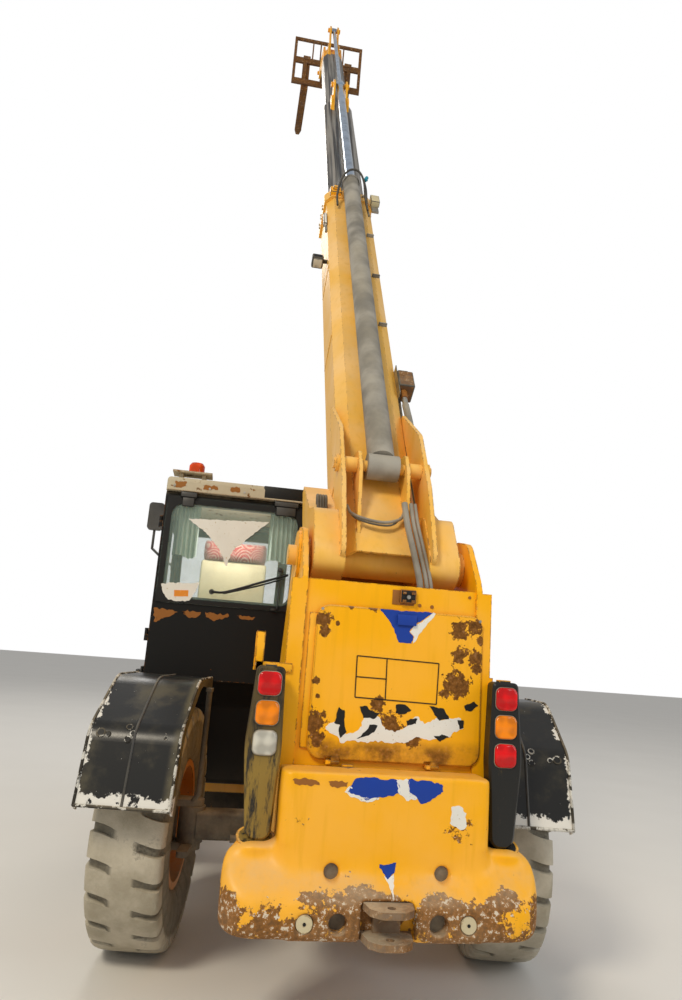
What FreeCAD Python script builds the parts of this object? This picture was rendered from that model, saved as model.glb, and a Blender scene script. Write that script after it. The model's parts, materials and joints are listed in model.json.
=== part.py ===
"""Telehandler: four-wheel steered telescopic handler, boom raised and drawn out, standing on its wheels.

Millimetres. X points to the machine's right, Y forward, Z up. Everything is built with Y = 0 at the rear
axle and X = 0 midway between the tyres. At the end the whole machine moves by one vector, so that its
origin lies at the middle of its bounding box, on the ground.
"""
import FreeCAD, Part
import os
from math import atan2, cos, hypot, radians, sin, sqrt, tan

V = FreeCAD.Vector

# Clearance of running fits
RUN_FIT = 0.3

# Overall and axles
OVERALL_WIDTH = 2350.0
WHEELBASE = 2850.0
KINGPIN_RADIUS = 28.0
STEER_REST_DEG = 8.0
AXLE_BEAM_HALF = 75.0
AXLE_END_RADIUS = 72.0
AXLE_CASE_RADIUS = 165.0
AXLE_PAD = 20.0
AXLE_PAD_WIDTH = 110.0

# Wheels
TYRE_RADIUS = 635.0
TYRE_WIDTH = 375.0
TREAD_DEPTH = 30.0
TYRE_SIDES = 24
BEAD_INSET = 38.0
GROOVE_WIDTH = 46.0
GROOVE_SKEW = 70.0
GROOVE_START = 22.0
RIM_RADIUS = 312.0
RIM_WALL = 14.0
RIM_FLANGE = 24.0
HUB_RADIUS = 140.0
HUB_INNER_X = -60.0
SPINDLE_RADIUS = 45.0
SPINDLE_DEPTH = 70.0
WHEEL_CENTRE_X = OVERALL_WIDTH / 2 - TYRE_WIDTH / 2
KINGPIN_OFFSET = 207.5
KINGPIN_X = WHEEL_CENTRE_X - KINGPIN_OFFSET

# Mudguards
FENDER_WIDTH = 460.0
FENDER_GAP = 160.0
FENDER_WALL = 10.0
FENDER_LIP = 70.0
STAY_RADIUS = 16.0

# Chassis
RAIL_OUTER_X = 370.0
RAIL_PLATE = 25.0
RAIL_LOW_Z = 480.0
RAIL_TOP_Z = 1000.0
RAIL_FRONT_Y = WHEELBASE + 710.0
REAR_DECK_Z = 1450.0
PLATE = 20.0

# Boom foot tower
BOOM_X = 90.0
TOWER_X = 115.0
TOWER_HALF = 470.0
TOWER_REAR_Y = -850.0
TOWER_TOP_Z = 2050.0
TOWER_PLATE = 30.0
FLANGE_WIDTH = 50.0
PIVOT_Y = -545.0
PIVOT_Z = 2130.0
PIVOT_PIN_RADIUS = 55.0
PIVOT_BOSS_RADIUS = 95.0
CHEEK_GAP = 25.0
CHEEK_REACH = 780.0

# Counterweight
WEIGHT_HALF = 487.0
WEIGHT_REAR_Y = -1060.0
WEIGHT_FRONT_Y = TOWER_REAR_Y
WEIGHT_TOP_Z = 1103.0
BUMPER_HALF = 735.0
BUMPER_REAR_Y = -1165.0
BUMPER_TOP_Z = 790.0
BUMPER_LOW_Z = 440.0
BUMPER_EDGE = 52.0
# the top's fall to the rear: distance ahead of the rear face, distance below the top
BUMPER_TOP_LINE = [(0.0, 220.0), (12.0, 188.0), (40.0, 158.0), (180.0, 18.0), (215.0, 0.0)]
HITCH_PIN_RADIUS = 19.0
HITCH_JAW = 100.0
HITCH_PLATE = 28.0
HITCH_LOW_Z = 455.0
HITCH_HIGH_Z = 575.0

# Boom, measured along the boom (S, from the foot pin) and square to it (N)
BOOM_DEG = 56.0
OUTER_END_S = 4880.0
MID_START_S = 3550.0
MID_END_S = 8200.0
INNER_START_S = 6850.0
INNER_END_S = 11350.0
OUTER_HALF = 225.0
OUTER_TOP_N = 150.0
OUTER_LOW_N = -270.0
BOOM_WALL = 12.0
SECTION_STEP = 34.0
CHAMFER = 70.0
PAD_INSET = 20.0
PAD_LENGTH = 120.0
STROKE_OUT = 350.0

# Telescopic ram on top of the boom
RAM_N = 262.0
RAM_EYE_S = 500.0
RAM_RADIUS = 80.0
ROD_1_RADIUS = 48.0
ROD_2_RADIUS = 27.0
ROD_1_EYE_S = 8430.0
ROD_2_EYE_S = 11800.0
ROD_1_HEAD = 60.0
ROD_2_HEAD = 38.0
RAM_PIN_RADIUS = 32.0

# Lift ram
LIFT_BASE_Y = -300.0
LIFT_BASE_Z = 720.0
LIFT_EYE_S = 1350.0
LIFT_EYE_N = -385.0
LIFT_RADIUS = 82.0
LIFT_ROD_RADIUS = 50.0
LIFT_BARREL = 1360.0
LIFT_ROD = 1375.0
LIFT_PIN_RADIUS = 36.0
LIFT_EYE_RADIUS = 62.0
LIFT_EAR_IN = 90.0
LIFT_EAR = 26.0

# Carriage and forks
HEAD_PIVOT_S = 11950.0
HEAD_PIVOT_N = -440.0
HEAD_HALF = 120.0
HEAD_PLATE = 30.0
PIN_HEAD_RADIUS = 30.0
TILT_BASE_S = 11370.0
TILT_BASE_N = -70.0
TILT_RADIUS = 55.0
TILT_ROD_RADIUS = 30.0
TILT_ARM = 280.0
TILT_BARREL = 470.0
TILT_PIN_RADIUS = 24.0
CARRIAGE_WIDTH = 1200.0
CARRIAGE_HEIGHT = 560.0
CARRIAGE_AHEAD = 190.0
FORK_LENGTH = 1200.0
FORK_WIDTH = 130.0
FORK_THICK = 50.0
FORK_SPREAD = 760.0

# Cab
CAB_LEFT_X = -1180.0
CAB_RIGHT_X = -245.0
CAB_REAR_Y = 336.0
CAB_FRONT_Y = WHEELBASE - 920.0
CAB_FLOOR_Z = 700.0
CAB_ARCH_Z = 1400.0
CAB_ROOF_Z = 2600.0
ROOF_THICK = 95.0
CAB_WALL = 45.0
CAB_RAIL_GAP = 15.0
GLASS = 6.0
DOOR_WALL = 38.0
DOOR_GAP = 6.0
SEAT_REAR_Y = 895.0
DOOR_HINGE_Y = 425.0
DOOR_HINGE_OUT = 18.0
DOOR_HINGE_Z = (1620.0, 2360.0)

# Engine
ENGINE_INNER_X = 430.0
ENGINE_OUTER_X = 1130.0
ENGINE_REAR_Y = 850.0
ENGINE_FRONT_Y = WHEELBASE - 820.0
ENGINE_LOW_Z = 560.0
ENGINE_SPLIT_Z = 1000.0
ENGINE_TOP_Z = 1390.0
HOOD_WALL = 25.0
HOOD_GAP = 8.0
HOOD_HINGE_X = 410.0
HOOD_HINGE_Z = 1372.0
HOOD_HINGE_LEAF = 60.0
HOOD_HINGE_Y = (ENGINE_REAR_Y + 100.0, ENGINE_FRONT_Y - 130.0)

# Hinges of the hood and doors: eye and pin radius, and length of one eye
HINGE_EYE = 14.0
HINGE_PIN = 8.0
HINGE_LENGTH = 40.0

# Hinges of the access door, along X
PANEL_HINGE_X = (-150.0, 340.0)
PANEL_HINGE_Y = TOWER_REAR_Y - 12.0
PANEL_HINGE_Z = 1119.0
PANEL_EYE = 9.0
PANEL_PIN = 5.0
PANEL_NOTCH = 32.0
PANEL_NOTCH_HEIGHT = 16.0

# Tank and steps under the cab
TANK_LOW_Z = 430.0

# Stabilisers
LEG_X = 620.0
LEG_Y = RAIL_FRONT_Y + 130.0
LEG_HALF = 65.0
LEG_CASE_WALL = 20.0
LEG_FOOT_Z = 400.0
FOOT_RADIUS = 170.0

# Lamps
LAMP_OFFSET_X = 575.0
LAMP_X = TOWER_X - 18.0
LAMP_REAR_Y = -985.0
LAMP_CASE_DEPTH = 78.0
LAMP_SIZE = 112.0
LAMP_PITCH = 131.0
LAMP_TOP_Z = 1467.0
LAMP_CASE_TOP_Z = 1545.0
LAMP_CASE_LOW_Z = 792.0
LAMP_FOOT = 34.0
LAMP_FOOT_RADIUS = 100.0


def box(x0, x1, y0, y1, z0, z1):
    """A block between two corners."""
    return Part.makeBox(x1 - x0, y1 - y0, z1 - z0, V(x0, y0, z0))


def bar(start, end, radius):
    """A round bar from start to end."""
    way = end - start
    return Part.makeCylinder(radius, way.Length, start, way)


def pipe(start, end, radius, bore):
    """A round tube from start to end."""
    way = end - start
    return Part.makeCylinder(radius, way.Length, start,
                             way).cut(Part.makeCylinder(bore, way.Length, start, way))


def outline(corners, place):
    """A flat face round corners (u, v, rounding radius); place turns u and v into a point."""
    edges = []
    ends = []
    count = len(corners)
    for index in range(count):
        u, v, radius = corners[index]
        before = corners[index - 1]
        after = corners[(index + 1) % count]
        au, av = before[0] - u, before[1] - v
        bu, bv = after[0] - u, after[1] - v
        la, lb = hypot(au, av), hypot(bu, bv)
        au, av, bu, bv = au / la, av / la, bu / lb, bv / lb
        if radius == 0:
            ends.append(((u, v), (u, v), None))
            continue
        half = 0.5 * abs(atan2(au * bv - av * bu, au * bu + av * bv))
        reach = radius / tan(half)
        mu, mv = au + bu, av + bv
        length = hypot(mu, mv)
        inset = radius / sin(half) - radius
        middle = (u + mu / length * inset, v + mv / length * inset)
        ends.append(((u + au * reach, v + av * reach), (u + bu * reach, v + bv * reach), middle))
    for index in range(count):
        start, end, middle = ends[index]
        if middle:
            edges.append(Part.Arc(place(*start), place(*middle), place(*end)).toShape())
        following = ends[(index + 1) % count][0]
        if hypot(end[0] - following[0], end[1] - following[1]) > 0.01:
            edges.append(Part.LineSegment(place(*end), place(*following)).toShape())
    return Part.Face(Part.Wire(edges))


def along_x(corners, x0, x1):
    """A plate or beam with its outline in Y and Z, from x0 to x1."""
    return outline(corners, lambda y, z: V(x0, y, z)).extrude(V(x1 - x0, 0, 0))


def along_y(corners, y0, y1):
    """A plate or beam with its outline in X and Z, from y0 to y1."""
    return outline(corners, lambda x, z: V(x, y0, z)).extrude(V(0, y1 - y0, 0))


def along_z(corners, z0, z1):
    """A plate or beam with its outline in X and Y, from z0 to z1."""
    return outline(corners, lambda x, y: V(x, y, z0)).extrude(V(0, 0, z1 - z0))


def turned(profile):
    """A solid turned about the X axis from a profile of (x, radius, rounding radius)."""
    return outline(profile, lambda x, r: V(x, 0, r)).revolve(V(0, 0, 0), V(1, 0, 0), 360)


def joined(shapes):
    """One solid from touching or overlapping shapes."""
    return shapes[0].fuse(shapes[1:]).removeSplitter()


def mirrored(shape, x=0.0):
    """The mirror image across the plane at x."""
    return shape.mirror(V(x, 0, 0), V(1, 0, 0))


def rounded_box(x0, x1, z0, z1, radius):
    """Corners of an upright rectangle in X and Z."""
    return [(x0, z0, radius), (x1, z0, radius), (x1, z1, radius), (x0, z1, radius)]


def boom_place(shape):
    """Turns a shape built level, with the foot pin at the origin, up to the boom's angle."""
    shape = shape.copy()
    shape.rotate(V(0, 0, 0), V(1, 0, 0), BOOM_DEG)
    shape.translate(V(BOOM_X, PIVOT_Y, PIVOT_Z))
    return shape


def boom_point(s, n, x=0.0):
    """The machine's point at S, N and X of the boom."""
    turn = radians(BOOM_DEG)
    return V(BOOM_X + x, PIVOT_Y + s * cos(turn) - n * sin(turn), PIVOT_Z + s * sin(turn) + n * cos(turn))


# Wheels: one wheel is built for the right side with its centre at the origin, outside towards +X

def ring_of_flats(profile, sides):
    """A ring of flat faces about the X axis, from a closed profile of (x, radius)."""
    faces = []
    turn = radians(360.0 / sides)
    for index in range(sides):
        start, end = index * turn, (index + 1) * turn
        for near, far in zip(profile, profile[1:] + profile[:1]):
            corners = [V(x, r * sin(angle), r * cos(angle))
                       for x, r, angle in ((*near, start), (*far, start), (*far, end), (*near, end))]
            faces.append(Part.Face(Part.makePolygon(corners + corners[:1])))
    ring = Part.Solid(Part.Shell(faces))
    if ring.Volume < 0:
        ring.reverse()
    return ring


def tyre():
    """Traction tyre: a ring of flats, each with a slanting groove, half a pitch apart left and right."""
    half = TYRE_WIDTH / 2
    seat = half - BEAD_INSET
    bulge = RIM_RADIUS + 150
    lip = RIM_RADIUS + RIM_FLANGE + 6
    bore = RIM_RADIUS / cos(radians(180 / TYRE_SIDES))
    side = [(seat, bore), (seat, lip), (half, bulge), (half - 18, TYRE_RADIUS)]
    profile = side + [(-x, r) for x, r in reversed(side)]
    body = ring_of_flats(profile, TYRE_SIDES)
    high = GROOVE_SKEW / 2 + GROOVE_WIDTH / 2
    end = half + 10
    groove = along_z([(GROOVE_START, high - GROOVE_WIDTH, 0), (end, -high, 0), (end, GROOVE_WIDTH - high, 0),
                      (GROOVE_START, high, 0)], TYRE_RADIUS - TREAD_DEPTH, TYRE_RADIUS + 10)
    pitch = 360.0 / TYRE_SIDES
    grooves = []
    for index in range(TYRE_SIDES):
        for turn, start in ((0, (index + 0.5) * pitch), (180, index * pitch)):
            cut = groove.copy()
            cut.rotate(V(0, 0, 0), V(0, 0, 1), turn)
            cut.rotate(V(0, 0, 0), V(1, 0, 0), start)
            grooves.append(cut)
    body = body.cut(grooves)
    body.rotate(V(0, 0, 0), V(1, 0, 0), pitch / 2)
    return body


def rim():
    """Rim with flanges, dished disc and planetary hub, bored for the spindle."""
    seat = TYRE_WIDTH / 2 - BEAD_INSET
    inner = RIM_RADIUS - RIM_WALL
    edge = RIM_RADIUS + RIM_FLANGE
    bead = RIM_RADIUS - RUN_FIT
    barrel = turned([
        (-seat - 8, inner, 0), (seat + 8, inner, 0), (seat + 8, edge, 0), (seat + 1, edge, 0),
        (seat + 1, bead, 0),
        (-seat - 1, bead, 0), (-seat - 1, edge, 0), (-seat - 8, edge, 0)])
    disc = turned([(-30, 60, 0), (-30, HUB_RADIUS + 50, 0), (20, inner - 60, 0), (20, inner + 1, 0),
                   (34, inner + 1, 0), (34, inner - 66, 0), (-14, HUB_RADIUS + 44, 0), (-14, 60, 0)])
    hub = turned([(HUB_INNER_X, 0, 0), (HUB_INNER_X, HUB_RADIUS, 0), (70, HUB_RADIUS, 0),
                  (110, HUB_RADIUS - 45, 0), (110, 0, 0)])
    bore = Part.makeCylinder(SPINDLE_RADIUS + RUN_FIT, SPINDLE_DEPTH + 5, V(HUB_INNER_X, 0, 0), V(1, 0, 0))
    return joined([barrel, disc, hub]).cut(bore)


def knuckle():
    """Steering knuckle: two arms over and under the axle end, web plate, spindle and steering arm."""
    pin_x = KINGPIN_X - WHEEL_CENTRE_X
    web_x = pin_x + AXLE_END_RADIUS + 20
    top = AXLE_BEAM_HALF + 20 + RUN_FIT
    parts = [along_x([(-80, -150, 20), (80, -150, 20), (80, 150, 20), (-80, 150, 20)], web_x, web_x + 20)]
    for side in (-1, 1):
        low, high = sorted((side * top, side * (top + 36)))
        arm = along_z([(pin_x, -62, 0), (web_x + 20, -62, 0), (web_x + 20, 62, 0), (pin_x, 62, 0)], low, high)
        eye = Part.makeCylinder(62, high - low, V(pin_x, 0, low))
        low, high = sorted((side * (top - 45), side * top))
        stub = Part.makeCylinder(KINGPIN_RADIUS, high - low, V(pin_x, 0, low))
        parts += [arm, eye, stub]
    flange_end = HUB_INNER_X - RUN_FIT
    parts.append(Part.makeCylinder(100, flange_end - web_x - 19, V(web_x + 19, 0, 0), V(1, 0, 0)))
    parts.append(Part.makeCylinder(SPINDLE_RADIUS, SPINDLE_DEPTH, V(flange_end, 0, 0), V(1, 0, 0)))
    parts.append(along_z([(pin_x - 30, -45, 0), (pin_x - 30, -230, 20), (pin_x + 30, -230, 20),
                          (pin_x + 30, -45, 0)],
                         -top - 30, -top))
    return joined(parts)


def fender(full):
    """Moulded mudguard: sloped top, turned outer and inner lips and a bracket tube down to the knuckle."""
    half = FENDER_WIDTH / 2
    top = TYRE_RADIUS + FENDER_GAP
    front = 100
    if full:
        outer = [(front, top, 0), (-330, top, 260), (-700, top - 240, 150), (-790, 215, 0)]
        inner = [(-790 + FENDER_WALL, 215, 0), (-700 + FENDER_WALL, top - 240 - FENDER_WALL / 2, 140),
                 (-330, top - FENDER_WALL, 250), (front, top - FENDER_WALL, 0)]
    else:
        outer = [(front, top, 0), (-330, top, 240), (-600, top - 230, 0)]
        inner = [(-600 + FENDER_WALL, top - 230 - FENDER_WALL, 0), (-330, top - FENDER_WALL, 230),
                 (front, top - FENDER_WALL, 0)]
    shell = along_x(outer + inner, -half, half)
    depth = FENDER_LIP
    lipped = outer + [(y + depth * 0.8, z - depth * 0.4, r) for y, z, r in reversed(outer[1:])]
    lipped += [(front, top - depth, 0)]
    lips = []
    for x0 in (-half, half - FENDER_WALL):
        lips.append(along_x(lipped, x0, x0 + FENDER_WALL))
    return joined([shell] + lips)


def fender_stay():
    """Round stay from the knuckle's top arm up and over to the mudguard."""
    pin_x = KINGPIN_X - WHEEL_CENTRE_X
    post_x = -FENDER_WIDTH / 2 - STAY_RADIUS - RUN_FIT
    top = TYRE_RADIUS + FENDER_GAP - FENDER_WALL
    low = AXLE_BEAM_HALF + 20 + RUN_FIT + 20
    points = [V(pin_x, -40, low), V(post_x, -90, low + 60), V(post_x, -90, top - 40)]
    parts = [bar(points[0], points[1], STAY_RADIUS), bar(points[1], points[2], STAY_RADIUS)]
    parts.append(Part.makeSphere(STAY_RADIUS, points[1]))
    parts.append(box(post_x - STAY_RADIUS, -FENDER_WIDTH / 2 - RUN_FIT, -130, -50, top - 60, top - 40))
    return joined(parts)


def place_wheel_part(shape, side, axle_y, steer):
    """Moves a part built for the right wheel to its corner and turns it about the kingpin."""
    shape = shape.copy()
    shape.translate(V(WHEEL_CENTRE_X, 0, TYRE_RADIUS))
    shape.rotate(V(KINGPIN_X, 0, 0), V(0, 0, 1), steer * side)
    if side < 0:
        shape = mirrored(shape)
    shape.translate(V(0, axle_y, 0))
    return shape


def axle(y):
    """Axle beam with a middle case and bored ends for the kingpins."""
    z = TYRE_RADIUS
    beam = along_x([(y - AXLE_BEAM_HALF, z - AXLE_BEAM_HALF, 25),
                    (y + AXLE_BEAM_HALF, z - AXLE_BEAM_HALF, 25),
                    (y + AXLE_BEAM_HALF, z + AXLE_BEAM_HALF, 25),
                    (y - AXLE_BEAM_HALF, z + AXLE_BEAM_HALF, 25)],
                   -KINGPIN_X + 30, KINGPIN_X - 30)
    case = turned([(-190, 0, 0), (-190, AXLE_CASE_RADIUS - 50, 0), (-90, AXLE_CASE_RADIUS, 0),
                   (90, AXLE_CASE_RADIUS, 0), (190, AXLE_CASE_RADIUS - 50, 0), (190, 0, 0)])
    case.translate(V(0, y, z))
    reach = AXLE_BEAM_HALF + 20
    parts = [beam, case]
    for side in (-1, 1):
        parts.append(Part.makeCylinder(AXLE_END_RADIUS, 2 * reach, V(side * KINGPIN_X, y, z - reach)))
        rail_in, rail_out = sorted((side * (RAIL_OUTER_X - AXLE_PAD_WIDTH), side * RAIL_OUTER_X))
        parts.append(box(rail_in, rail_out, y - 70, y + 70, z, z + AXLE_CASE_RADIUS + AXLE_PAD))
    body = joined(parts)
    for side in (-1, 1):
        for low in (z - reach, z + reach - 46):
            body = body.cut(Part.makeCylinder(KINGPIN_RADIUS + RUN_FIT, 46, V(side * KINGPIN_X, y, low)))
    ram_y = y - AXLE_BEAM_HALF - 75
    ram_z = z - 40
    ram = [bar(V(-260, ram_y, ram_z), V(260, ram_y, ram_z), 45),
           bar(V(-560, ram_y, ram_z), V(560, ram_y, ram_z), 20)]
    for side in (-1, 1):
        ram.append(box(side * 200 - 25, side * 200 + 25, ram_y, y, ram_z - 30, ram_z + 30))
    return joined([body] + ram)


# Chassis

def chassis():
    """Two profiled rails with cross members, rear deck, front cross beam, stabiliser boxes and tow jaw."""
    front_axle = WHEELBASE
    arch = TYRE_RADIUS + AXLE_CASE_RADIUS + AXLE_PAD
    profile = [
        (-640, 560, 40), (-400, 560, 60), (-240, arch, 60), (240, arch, 60), (440, RAIL_LOW_Z, 60),
        (front_axle - 440, RAIL_LOW_Z, 60), (front_axle - 240, arch, 60), (front_axle + 240, arch, 60),
        (front_axle + 420, 620, 60), (RAIL_FRONT_Y, 620, 30), (RAIL_FRONT_Y, RAIL_TOP_Z - 60, 60),
        (760, RAIL_TOP_Z, 90), (120, REAR_DECK_Z, 90), (-640, REAR_DECK_Z, 0)]
    parts = []
    for side in (-1, 1):
        x0, x1 = sorted((side * RAIL_OUTER_X, side * (RAIL_OUTER_X - RAIL_PLATE)))
        parts.append(along_x(profile, x0, x1))
    inside = RAIL_OUTER_X - RAIL_PLATE / 2
    for y0, y1, z0, z1 in [
            (-640, -610, 560, REAR_DECK_Z), (500, 525, RAIL_LOW_Z, RAIL_TOP_Z),
            (2150, 2175, RAIL_LOW_Z, RAIL_TOP_Z), (RAIL_FRONT_Y - 30, RAIL_FRONT_Y, 620, RAIL_TOP_Z - 70),
            (525, 2150, RAIL_LOW_Z, RAIL_LOW_Z + PLATE)]:
        parts.append(box(-inside, inside, y0, y1, z0, z1))
    parts.append(bar(V(-inside, 1000, RAIL_TOP_Z - 120), V(inside, 1000, RAIL_TOP_Z - 120), 60))
    # tail piece back to the counterweight
    parts.append(box(-300, 300, WEIGHT_FRONT_Y, -620, 560, WEIGHT_TOP_Z - 60))
    # mounting ears of the lift ram
    ears = []
    for side in (-1, 1):
        x0, x1 = sorted((BOOM_X + side * LIFT_EAR_IN, BOOM_X + side * (LIFT_EAR_IN + LIFT_EAR)))
        ears.append(along_x([(-620, LIFT_BASE_Z - 150, 0), (LIFT_BASE_Y - 40, LIFT_BASE_Z - 75, 0),
                             (LIFT_BASE_Y + 75, LIFT_BASE_Z - 75, 70),
                             (LIFT_BASE_Y + 75, LIFT_BASE_Z + 75, 70),
                             (LIFT_BASE_Y - 40, LIFT_BASE_Z + 75, 0), (-620, LIFT_BASE_Z + 150, 0)], x0, x1))
    parts += ears
    # cab and engine outriggers
    parts.append(box(CAB_LEFT_X + 60, -inside, 1000, 1080, CAB_FLOOR_Z - 80, CAB_FLOOR_Z))
    parts.append(box(CAB_LEFT_X + 60, -inside, 1700, 1780, CAB_FLOOR_Z - 80, CAB_FLOOR_Z))
    parts.append(box(inside, ENGINE_OUTER_X - 60, 1000, 1080, ENGINE_LOW_Z - 70, ENGINE_LOW_Z))
    parts.append(box(inside, ENGINE_OUTER_X - 60, 1800, 1880, ENGINE_LOW_Z - 70, ENGINE_LOW_Z))
    # posts of the hood's hinge, with their pins
    for y in HOOD_HINGE_Y:
        hinge = V(HOOD_HINGE_X, y, HOOD_HINGE_Z)
        post = along_y([(inside, 850, 0), (HOOD_HINGE_X - 10, 850, 0), (HOOD_HINGE_X - 10, HOOD_HINGE_Z, 0),
                        (HOOD_HINGE_X - 10, HOOD_HINGE_Z + HINGE_EYE, 8),
                        (inside, HOOD_HINGE_Z + HINGE_EYE, 8)],
                       y - 20, y + 20)
        parts += [post, bar(hinge - V(0, 20, 0), hinge + V(0, 20, 0), HINGE_EYE),
                  bar(hinge, hinge + V(0, 20 + HINGE_LENGTH, 0), HINGE_PIN)]
    # front beam with the stabilisers' boxes
    hollows = []
    parts.append(box(-LEG_X, LEG_X, RAIL_FRONT_Y, RAIL_FRONT_Y + 130, 640, 860))
    for side in (-1, 1):
        x = side * LEG_X
        case = LEG_HALF + LEG_CASE_WALL
        parts.append(box(x - case, x + case, LEG_Y - case, LEG_Y + case, 560, 1010))
        room = LEG_HALF + RUN_FIT
        hollows.append(box(x - room, x + room, LEG_Y - room, LEG_Y + room, 500, 990))
    body = joined(parts)
    for hollow in hollows:
        body = body.cut(hollow)
    return body.cut(bar(V(BOOM_X - 200, LIFT_BASE_Y, LIFT_BASE_Z), V(BOOM_X + 200, LIFT_BASE_Y, LIFT_BASE_Z),
                        LIFT_PIN_RADIUS + RUN_FIT))


def tow_hitch():
    """Two jaw plates behind the counterweight with a pin bore through both."""
    x = TOWER_X - 18
    tail = BUMPER_REAR_Y - HITCH_JAW
    corners = [(x - 115, BUMPER_REAR_Y + 60, 0), (x + 115, BUMPER_REAR_Y + 60, 0), (x + 95, tail + 40, 30),
               (x + 50, tail, 40), (x - 50, tail, 40), (x - 95, tail + 40, 30)]
    plates = []
    for z in (HITCH_LOW_Z, HITCH_HIGH_Z):
        plates.append(along_z(corners, z, z + HITCH_PLATE))
    block = box(x - 60, x + 60, BUMPER_REAR_Y + 30, BUMPER_REAR_Y + 60, HITCH_LOW_Z,
                HITCH_HIGH_Z + HITCH_PLATE)
    hitch = joined(plates + [block])
    bore = Part.makeCylinder(HITCH_PIN_RADIUS, 400, V(x, tail + 55, HITCH_LOW_Z - 100))
    return hitch.cut(bore)


def counterweight():
    """Casting: block that runs out into a wide bumper with round ends and a top that falls to the rear."""
    x = TOWER_X - 18
    block = along_z([(x - WEIGHT_HALF, WEIGHT_REAR_Y, 45), (x + WEIGHT_HALF, WEIGHT_REAR_Y, 45),
                     (x + WEIGHT_HALF, WEIGHT_FRONT_Y, 0), (x - WEIGHT_HALF, WEIGHT_FRONT_Y, 0)],
                    BUMPER_LOW_Z + 60, WEIGHT_TOP_Z)
    end = 105
    bumper = along_z([(x - BUMPER_HALF + 60, BUMPER_REAR_Y, 150), (x + BUMPER_HALF - 60, BUMPER_REAR_Y, 150),
                      (x + BUMPER_HALF, BUMPER_REAR_Y + 170, end),
                      (x + BUMPER_HALF - 90, WEIGHT_FRONT_Y - 60, 60),
                      (x - BUMPER_HALF + 90, WEIGHT_FRONT_Y - 60, 60),
                      (x - BUMPER_HALF, BUMPER_REAR_Y + 170, end)],
                     BUMPER_LOW_Z, BUMPER_TOP_Z)
    rims = [edge for edge in bumper.Edges if edge.BoundBox.ZMax - edge.BoundBox.ZMin < 1]
    bumper = bumper.makeFillet(BUMPER_EDGE, rims)
    top = [(BUMPER_REAR_Y + ahead, BUMPER_TOP_Z - below, 0) for ahead, below in BUMPER_TOP_LINE]
    above = [(top[-1][0], BUMPER_TOP_Z + 20, 0), (BUMPER_REAR_Y - 20, BUMPER_TOP_Z + 20, 0),
             (BUMPER_REAR_Y - 20, top[0][1], 0)]
    bumper = bumper.cut(along_x(top + above, x - BUMPER_HALF - 10, x + BUMPER_HALF + 10))
    feet = []
    for side in (-1, 1):
        foot = V(LAMP_X + side * LAMP_OFFSET_X, LAMP_REAR_Y + LAMP_CASE_DEPTH / 2,
                 LAMP_CASE_LOW_Z - 0.3 - LAMP_FOOT)
        feet.append(Part.makeCylinder(LAMP_FOOT_RADIUS, LAMP_FOOT, foot))
    casting = block.fuse([bumper] + feet)
    # holes in the rear face and along the bumper
    for hole_x, hole_z, radius in [(x - 240, 693, 34), (x + 262, 696, 34), (x - 355, 519, 36),
                                   (x - 213, 519, 40),
                                   (x + 226, 520, 40), (x + 356, 525, 36)]:
        casting = casting.cut(Part.makeCylinder(radius, 160, V(hole_x, BUMPER_REAR_Y - 60, hole_z),
                                                V(0, 1, 0)))
    # recess that takes the tow jaw
    casting = casting.cut(box(x - 116, x + 116, BUMPER_REAR_Y - 10, BUMPER_REAR_Y + 60.3,
                              HITCH_LOW_Z - 100, HITCH_HIGH_Z + HITCH_PLATE + 0.3))
    return casting.removeSplitter()


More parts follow.
